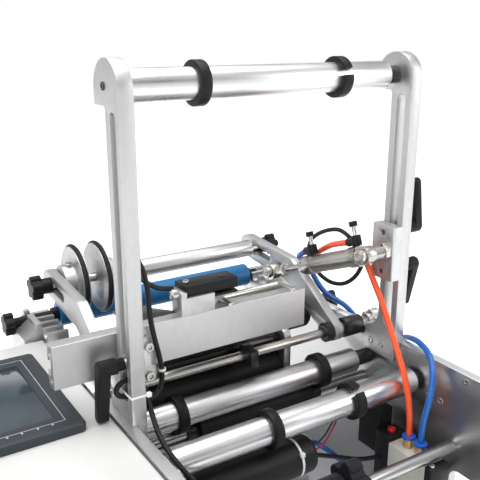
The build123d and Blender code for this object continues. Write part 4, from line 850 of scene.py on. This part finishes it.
CYLINDER_ROUTE = (
    (109, 22, 92), (112, 28, 79), (116, 41, 62.5), (118, 59.5, 48.5), (118, 80, 43.5),
    (118, 98, 46.5), (118, 112, 54), (116, 118.5, 67), (113.5, 112, 84.5), (113, 94, 97),
    (113, 74, 105), (112, 59, 107), (109.5, 46, 104),
)
COIL_ROUTE = (
    (104.7, -18, -106), (90, -15.5, -105), (72, -15, -98.5), (52, -17, -88), (34, -19, -79),
    (16.6, -20.5, -71),
)
ORANGE_BEND = ("air_cylinder", (110, 50, 88), (118, -25, 5))
BLUE_BEND = ("air_cylinder", (118.5, 121, 53), (150, 104, 8))
SENSOR_BEND = ("peel_beam", (-120, 0, 14), (-120, 0, -45))
TUBE_FACETS = 5
CURVE_STEPS = 8


def lay_curve(name, route, radius, finish):
    """A round smooth curve along drawing points."""
    data = bpy.data.curves.new(name, "CURVE")
    data.dimensions = "3D"
    data.bevel_depth = radius * MM
    data.bevel_resolution = TUBE_FACETS
    data.resolution_u = CURVE_STEPS
    data.use_fill_caps = True
    spline = data.splines.new("NURBS")
    spline.points.add(len(route) - 1)
    for point, place in zip(spline.points, route):
        point.co = (*at(*place), 1)
    spline.order_u = 3
    spline.use_endpoint_u = True
    piece = bpy.data.objects.new(name, data)
    bpy.context.scene.collection.objects.link(piece)
    data.materials.append(finish)
    return piece


def centre_line(piece):
    """The points of a curve's centre line, in order."""
    bare = piece.copy()
    bare.data = piece.data.copy()
    bare.data.bevel_depth = 0
    bpy.context.scene.collection.objects.link(bare)
    bpy.context.view_layer.update()
    mesh = bpy.data.meshes.new_from_object(bare)
    points = [vertex.co.copy() for vertex in mesh.vertices]
    bpy.data.objects.remove(bare)
    bpy.data.meshes.remove(mesh)
    return points


def as_tube(piece):
    """The mesh of a round curve, under the curve's own name."""
    name = piece.name
    tube = bpy.data.meshes.new_from_object(piece)
    bpy.data.objects.remove(piece)
    piece = bpy.data.objects.new(name, tube)
    bpy.context.scene.collection.objects.link(piece)
    return piece


def lay_cord(node, name, route, radius, finish, bend=None):
    """A hose or cable in place of its packed tube, with both ends in the machine. One that joins a
    moving body to the frame is made a mesh in place and attached to no body; the body and points in
    its bend are not used."""
    piece = lay_curve(name, route, radius, finish)
    points = centre_line(piece)
    home = nodes[node]["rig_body"]
    if bend:
        piece = as_tube(piece)
        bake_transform(piece)
    else:
        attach(piece, home)
    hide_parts(node)
    return piece


lay_cord("hose_orange", "orange_air_hose", ORANGE_ROUTE, HOSE_R, ORANGE_HOSE, ORANGE_BEND)
lay_cord("hose_blue", "blue_air_hose", BLUE_ROUTE, HOSE_R, BLUE_HOSE, BLUE_BEND)
lay_cord("sensor_cable", "label_sensor_cable", SENSOR_ROUTE, CABLE_R, CABLE_JACKET,
         SENSOR_BEND)
lay_cord("cylinder_cable", "reed_switch_cable", CYLINDER_ROUTE, CABLE_R, CABLE_JACKET)

# %% [markdown]
# The sleeved bundle and the coil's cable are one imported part. The bundle keeps its dressed copy,
# with the cable's faces deleted, and a smooth curve takes the cable's place. Thin wires and the
# supply hose leave the bundle's end too, and run to the right plate.

# %% Bundle, coil cable and wires
BUNDLE_END = 16.2
WIRE_R = 0.8
SUPPLY_R = 2.6
WIRE_LOOK = (0.35, 2400.0, 0.02, 0.0, 0.0, 0.35)
RED_WIRE = moulded("red wire jacket", (0.42, 0.010, 0.020), *WIRE_LOOK)
NAVY_WIRE = moulded("navy wire jacket", (0.010, 0.012, 0.060), *WIRE_LOOK)
RED_WIRE_ROUTE = (
    (15.5, -21, -64), (24, -19, -70), (34, -19, -66), (43, -18, -55), (50, -16, -49), (57, -5, -46),
    (72, 5, -43), (105, 8, -42), (142.8, 8, -44),
)
NAVY_WIRE_ROUTE = (
    (15.5, -18, -60), (25, -15.5, -66), (35, -15.5, -63), (44, -14.5, -53), (51, -12, -48.5),
    (58, -1, -46), (73, 8, -43), (105, 11, -42), (142.8, 11, -44),
)
SUPPLY_ROUTE = (
    (14.5, -13, -62), (25, -11, -65), (38.4, -11, -75), (66.5, -9, -103.4), (90, -9, -126),
    (108, -13, -140), (126, -19, -147), (142.8, -22, -148),
)


def keep_left_of(piece, across):
    """Delete the faces of a dressed part to the right of a line."""
    only(piece)
    bpy.ops.object.mode_set(mode="EDIT")
    bpy.ops.mesh.select_all(action="DESELECT")
    bpy.ops.object.mode_set(mode="OBJECT")
    for vertex in piece.data.vertices:
        vertex.select = drawing(vertex.co).x > across
    bpy.ops.object.mode_set(mode="EDIT")
    bpy.ops.mesh.delete(type="VERT")
    bpy.ops.object.mode_set(mode="OBJECT")


def lay_wire(name, route, radius, finish):
    """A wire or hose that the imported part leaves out, with both ends in the machine."""
    piece = lay_curve(name, route, radius, finish)
    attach(piece, nodes["black_cables"]["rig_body"])
    centre_line(piece)
    return piece


keep_left_of(dressed["black_cables"], BUNDLE_END)
lay_cord("black_cables", "coil_cable", COIL_ROUTE, CABLE_R, CABLE_JACKET)
lay_wire("red_wire", RED_WIRE_ROUTE, WIRE_R, RED_WIRE)
lay_wire("navy_wire", NAVY_WIRE_ROUTE, WIRE_R, NAVY_WIRE)
lay_wire("supply_hose", SUPPLY_ROUTE, SUPPLY_R, BLUE_HOSE)

# %% [markdown]
# The cap screws, hexagon nuts and set screws are all the same few forms. Each form is modelled
# once at unit size, with its socket cut and its rim rounded, and then copied to every place with
# a mesh of its own, turned so that its head looks out of the face that it sits on.

# %% Screw and nut forms
SCREW_SIDES = 28
RIM_ANGLE = math.radians(40)
RIM_SMOOTH = math.radians(35)
RIM_STEPS = 2
FACES_UP = 0.9
HEAD_RIM = 0.08
NUT_RIM = 0.03
SOCKET_SHARE = 0.6
CUTTER_EXTRA = 0.2
HEXAGON = 6


def add_round(name, radius, height, sides=SCREW_SIDES):
    """A primitive cylinder that stands on zero, ready for shaping."""
    bpy.ops.object.select_all(action="DESELECT")
    bpy.ops.mesh.primitive_cylinder_add(
        vertices=sides, radius=radius, depth=height, location=(0, 0, height / 2)
    )
    piece = bpy.context.active_object
    piece.name = name
    bpy.ops.object.transform_apply(location=True, rotation=False, scale=False)
    return piece


def cut_away(piece, cutter, rise):
    """Lift a cutter, take it out of a piece, and remove it."""
    for vertex in cutter.data.vertices:
        vertex.co.z += rise
    only(piece)
    cut = piece.modifiers.new("cut", "BOOLEAN")
    cut.operation = "DIFFERENCE"
    cut.object = cutter
    cut.solver = "EXACT"
    bpy.ops.object.modifier_apply(modifier=cut.name)
    bpy.data.objects.remove(cutter)


def round_rims(piece, width, steps=RIM_STEPS):
    """Round every sharp rim and smooth the rest."""
    bevel_edges(piece, width, steps, RIM_ANGLE, RIM_SMOOTH)


def select_top(piece):
    """Open a piece for editing with its upward faces selected."""
    only(piece)
    bpy.ops.object.mode_set(mode="EDIT")
    bpy.ops.mesh.select_all(action="DESELECT")
    bpy.ops.object.mode_set(mode="OBJECT")
    for face in piece.data.polygons:
        face.select = face.normal.z > FACES_UP
    bpy.ops.object.mode_set(mode="EDIT")


def socket_head_form(name, height, socket):
    """A round head of unit radius with a hexagon socket cut into its top."""
    piece = add_round(name, 1.0, height)
    depth = height * SOCKET_SHARE
    cutter = add_round("socket cutter", socket, depth + CUTTER_EXTRA, HEXAGON)
    cut_away(piece, cutter, height - depth)
    round_rims(piece, HEAD_RIM)
    return piece


def hexagon_nut_form(name, height, bore):
    """A hexagon nut of unit radius with a round mouth and a rod end in it."""
    piece = add_round(name, 1.0, height, HEXAGON)
    select_top(piece)
    bpy.ops.mesh.inset(thickness=0.10, depth=0.06)
    bpy.ops.mesh.inset(thickness=0.9 - bore, depth=0.0)
    bpy.ops.mesh.inset(thickness=0.03, depth=-0.12)
    bpy.ops.object.mode_set(mode="OBJECT")
    round_rims(piece, NUT_RIM)
    return piece


def ring_nut_form(name, height, bore):
    """A hexagon ring of unit radius that is open right through."""
    piece = add_round(name, 1.0, height, HEXAGON)
    cut_away(piece, add_round("ring drill", bore, height * 3), -height)
    round_rims(piece, NUT_RIM)
    return piece


FORMS = {
    "ring": ring_nut_form("ring nut form", 0.55, 0.78),
    "cap": socket_head_form("cap screw form", 0.9, 0.52),
    "flat": socket_head_form("set screw form", 0.25, 0.55),
    "nut": hexagon_nut_form("nut form", 0.7, 0.5),
}
print("fastener forms", sorted(FORMS))

# %% [markdown]
# Every screw is listed with its place on the drawing, the way its head looks, its head radius in
# millimetres, the part that it holds and its finish. It moves with that part.

# %% Screws and nuts
LEFT, RIGHT = (-1, 0, 0), (1, 0, 0)
NEAR = (0, -1, 0)
UP = (0, 0, 1)
DISC_SCREW_FACING = (0, -0.17, 0.98)
BARREL_FACING = (0, 0.9285, -0.3714)


def place_fastener(number, form, place, facing, radius, node, finish):
    """One copy of a form on a face, riding with the part that it holds."""
    source = FORMS[form]
    piece = bpy.data.objects.new(f"{form}_fastener_{number}", source.data.copy())
    bpy.context.scene.collection.objects.link(piece)
    turn = Vector(facing).to_track_quat("Z", "Y").to_matrix().to_4x4()
    size = Matrix.Diagonal((radius * MM, radius * MM, radius * MM, 1))
    piece.data.transform(Matrix.Translation(at(*place)) @ turn @ size)
    piece.data.materials.clear()
    piece.data.materials.append(finish)
    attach(piece, nodes[node]["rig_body"])
    return piece


FASTENERS = (
    ("flat", (-146, 26.1, 260.4), LEFT, 3.2, "post_left", BLACK_STEEL),
    ("flat", (-146, 34.0, -7.0), LEFT, 3.6, "post_left", NICKEL),
    ("flat", (-146, 19.3, -7.0), LEFT, 3.6, "post_left", NICKEL),
    ("flat", (134, 34.0, -7.0), LEFT, 3.6, "post_right", NICKEL),
    ("flat", (134, 19.3, -7.0), LEFT, 3.6, "post_right", NICKEL),
    ("flat", (143, -40.9, -37.5), LEFT, 3.4, "side_plate_right", NICKEL),
    ("flat", (143, -55.3, -38.2), LEFT, 3.4, "side_plate_right", NICKEL),
    ("flat", (143, -82.4, -5.9), LEFT, 3.4, "side_plate_right", NICKEL),
    ("cap", (-117.1, 29, 50.2), NEAR, 4.0, "beam_hardware", NICKEL),
    ("cap", (-117.1, 29, 24.0), NEAR, 4.0, "beam_hardware", NICKEL),
    ("cap", (-120.5, 207.8, 69.2), DISC_SCREW_FACING, 3.4, "press_discs", NICKEL),
    ("flat", (86.7, 6.7, 98.2), LEFT, 5.2, "cylinder_block", NICKEL),
    ("flat", (86.7, 156.4, 38.3), LEFT, 4.6, "arm_shafts", NICKEL),
    ("nut", (121.7, 6.7, 98.2), LEFT, 8.2, "cylinder_block", NICKEL),
    ("cap", (110, -80.5, -84), UP, 2.6, "valve_coil", NICKEL),
    ("ring", (97, 94.9, 62.9), BARREL_FACING, 9.6, "cylinder_barrel", NICKEL),
    ("cap", (-73.2, 44.5, 92), UP, 2.8, "label_sensor", NICKEL),
    ("flat", (-37.1, 43.5, 92), UP, 2.8, "label_sensor", BLACK_STEEL),
)
for number, (form, place, facing, radius, node, finish) in enumerate(FASTENERS):
    place_fastener(number, form, place, facing, radius, node, finish)
print("fasteners", len(FASTENERS))

# %% [markdown]
# The forms themselves have served and are taken out of the scene, so that only the copies show.

# %% Clear the forms away
for form in FORMS.values():
    bpy.data.objects.remove(form)

# %% [markdown]
# White nylon ties hold the cables: one goes round the left post, one holds the sensor's cable to
# the strip, and one gathers the bundle. A tie is a thin flat band, so each is a short open tube
# with a wall, and a small bevelled block stands for its lock.

# %% Cable ties
TIE_WIDTH = 2.2
TIE_WALL = 0.8
BAND_RIM = 0.00015
LOCK_RIM = 0.0003
LOCK_BORDER = 0.0008
LOCK_SLOT = 0.001
BLOCK_SIDES = 4


def open_ring(name, sides, radius, depth):
    """A cylinder without ends, at the origin."""
    bpy.ops.object.select_all(action="DESELECT")
    bpy.ops.mesh.primitive_cylinder_add(
        vertices=sides, radius=radius, depth=depth, end_fill_type="NOTHING"
    )
    piece = bpy.context.active_object
    piece.name = name
    return piece


def thicken(piece, thickness):
    """Give a sheet a wall that grows outwards, in millimetres."""
    only(piece)
    wall = piece.modifiers.new("wall", "SOLIDIFY")
    wall.thickness = thickness * MM
    wall.offset = 1
    bpy.ops.object.modifier_apply(modifier=wall.name)


def finish_piece(piece, rim, finish, node, steps=RIM_STEPS):
    """Round a small piece, give it its finish, and let it ride with a part."""
    round_rims(piece, rim, steps)
    piece.data.materials.append(finish)
    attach(piece, nodes[node]["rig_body"])


def band(name, radius, place, facing, node, sides=40):
    """A flat nylon band round a line."""
    piece = open_ring(name, sides, radius, TIE_WIDTH)
    turn = Vector(facing).to_track_quat("Z", "Y").to_matrix().to_4x4()
    piece.data.transform(Matrix.Translation(at(*place)) @ turn @ Matrix.Diagonal((MM, MM, MM, 1)))
    thicken(piece, TIE_WALL)
    finish_piece(piece, BAND_RIM, WHITE_NYLON, node)


def tie_lock(name, place, size, node):
    """The small square lock of a tie, with its slot."""
    bpy.ops.object.select_all(action="DESELECT")
    bpy.ops.mesh.primitive_cube_add(size=1)
    piece = bpy.context.active_object
    piece.name = name
    scale = Matrix.Diagonal((*(v * MM for v in size), 1))
    piece.data.transform(Matrix.Translation(at(*place)) @ scale)
    select_top(piece)
    bpy.ops.mesh.inset(thickness=LOCK_BORDER, depth=0)
    bpy.ops.mesh.extrude_region_move(TRANSFORM_OT_translate={"value": (0, 0, -LOCK_SLOT)})
    bpy.ops.object.mode_set(mode="OBJECT")
    finish_piece(piece, LOCK_RIM, WHITE_NYLON, node)


def middle_and_size(box, rise, depth):
    """The middle of a box across and back, and its scales from one metre."""
    low_x, high_x, low_y, high_y = box
    middle = ((low_x + high_x) / 2, (low_y + high_y) / 2, rise)
    return middle, ((high_x - low_x) * MM, (high_y - low_y) * MM, depth, 1)


def post_tie(name, box, rise, node):
    """A band round a square post, modelled as a thin open box with round corners."""
    piece = open_ring(name, BLOCK_SIDES, math.sqrt(0.5), 1)
    middle, size = middle_and_size(box, rise, TIE_WIDTH * MM)
    square = Matrix.Rotation(math.radians(45), 4, "Z")
    piece.data.transform(Matrix.Translation(at(*middle)) @ Matrix.Diagonal(size) @ square)
    thicken(piece, TIE_WALL)
    finish_piece(piece, LOCK_RIM, WHITE_NYLON, node)


post_tie("post_tie", (-146.3, -133.7, -0.3, 25.3), 24.5, "post_left")
tie_lock("post_tie_lock", (-131.6, -0.4, 24.5), (3.6, 3.4, 3.6), "post_left")
band("bundle_tie", 17.2, (-3, -18.7, -68.2), RIGHT, "black_cables")
tie_lock("bundle_tie_lock", (-3, -33.4, -57.6), (4.0, 3.6, 4.0), "black_cables")
band("sensor_cable_tie", 2.4, (-106.8, 26.3, 28), UP, "beam_hardware", 20)
print("ties", 3)

# %% [markdown]
# The touch panel's front is one sheet with a fine pale line printed round the display, and four
# short pale marks under it. The line is a very low raised band here, so it shows from any side.

# %% Printed line of the panel
PANEL_PRINT = moulded("panel print", (0.34, 0.37, 0.39), 0.4, 2400.0, 0.02, 0.0)
PANEL_TOP = 7.0
PRINT_HEIGHT = 0.15
PRINT_RIM = 0.00004
PRINT_LINE = (-365.0, -190.5, 27.0, 149.5)
LINE_WIDTH = 0.7
MARK_PLACES = (-236.0, -225.0, -213.0, -201.5)
MARK_HALF = 0.8
MARK_SPAN = (PRINT_LINE[2] - 2.6, PRINT_LINE[2] - 0.3)


def print_bar(name, box):
    """A low flat bar on the panel, with softened edges."""
    bpy.ops.object.select_all(action="DESELECT")
    bpy.ops.mesh.primitive_plane_add(size=1)
    piece = bpy.context.active_object
    piece.name = name
    middle, size = middle_and_size(box, PANEL_TOP, 1)
    piece.data.transform(Matrix.Translation(at(*middle)) @ Matrix.Diagonal(size))
    thicken(piece, PRINT_HEIGHT)
    finish_piece(piece, PRINT_RIM, PANEL_PRINT, "hmi_bezel", 1)


def print_line(box, width):
    """Four bars that make the printed rectangle."""
    low_x, high_x, low_y, high_y = box
    sides = (
        (low_x, high_x, low_y, low_y + width), (low_x, high_x, high_y - width, high_y),
        (low_x, low_x + width, low_y + width, high_y - width),
        (high_x - width, high_x, low_y + width, high_y - width),
    )
    for number, side in enumerate(sides):
        print_bar(f"panel_line_{number}", side)


print_line(PRINT_LINE, LINE_WIDTH)
for number, across in enumerate(MARK_PLACES):
    print_bar(f"panel_mark_{number}", (across - MARK_HALF, across + MARK_HALF, *MARK_SPAN))
print("panel bars", 4 + len(MARK_PLACES))
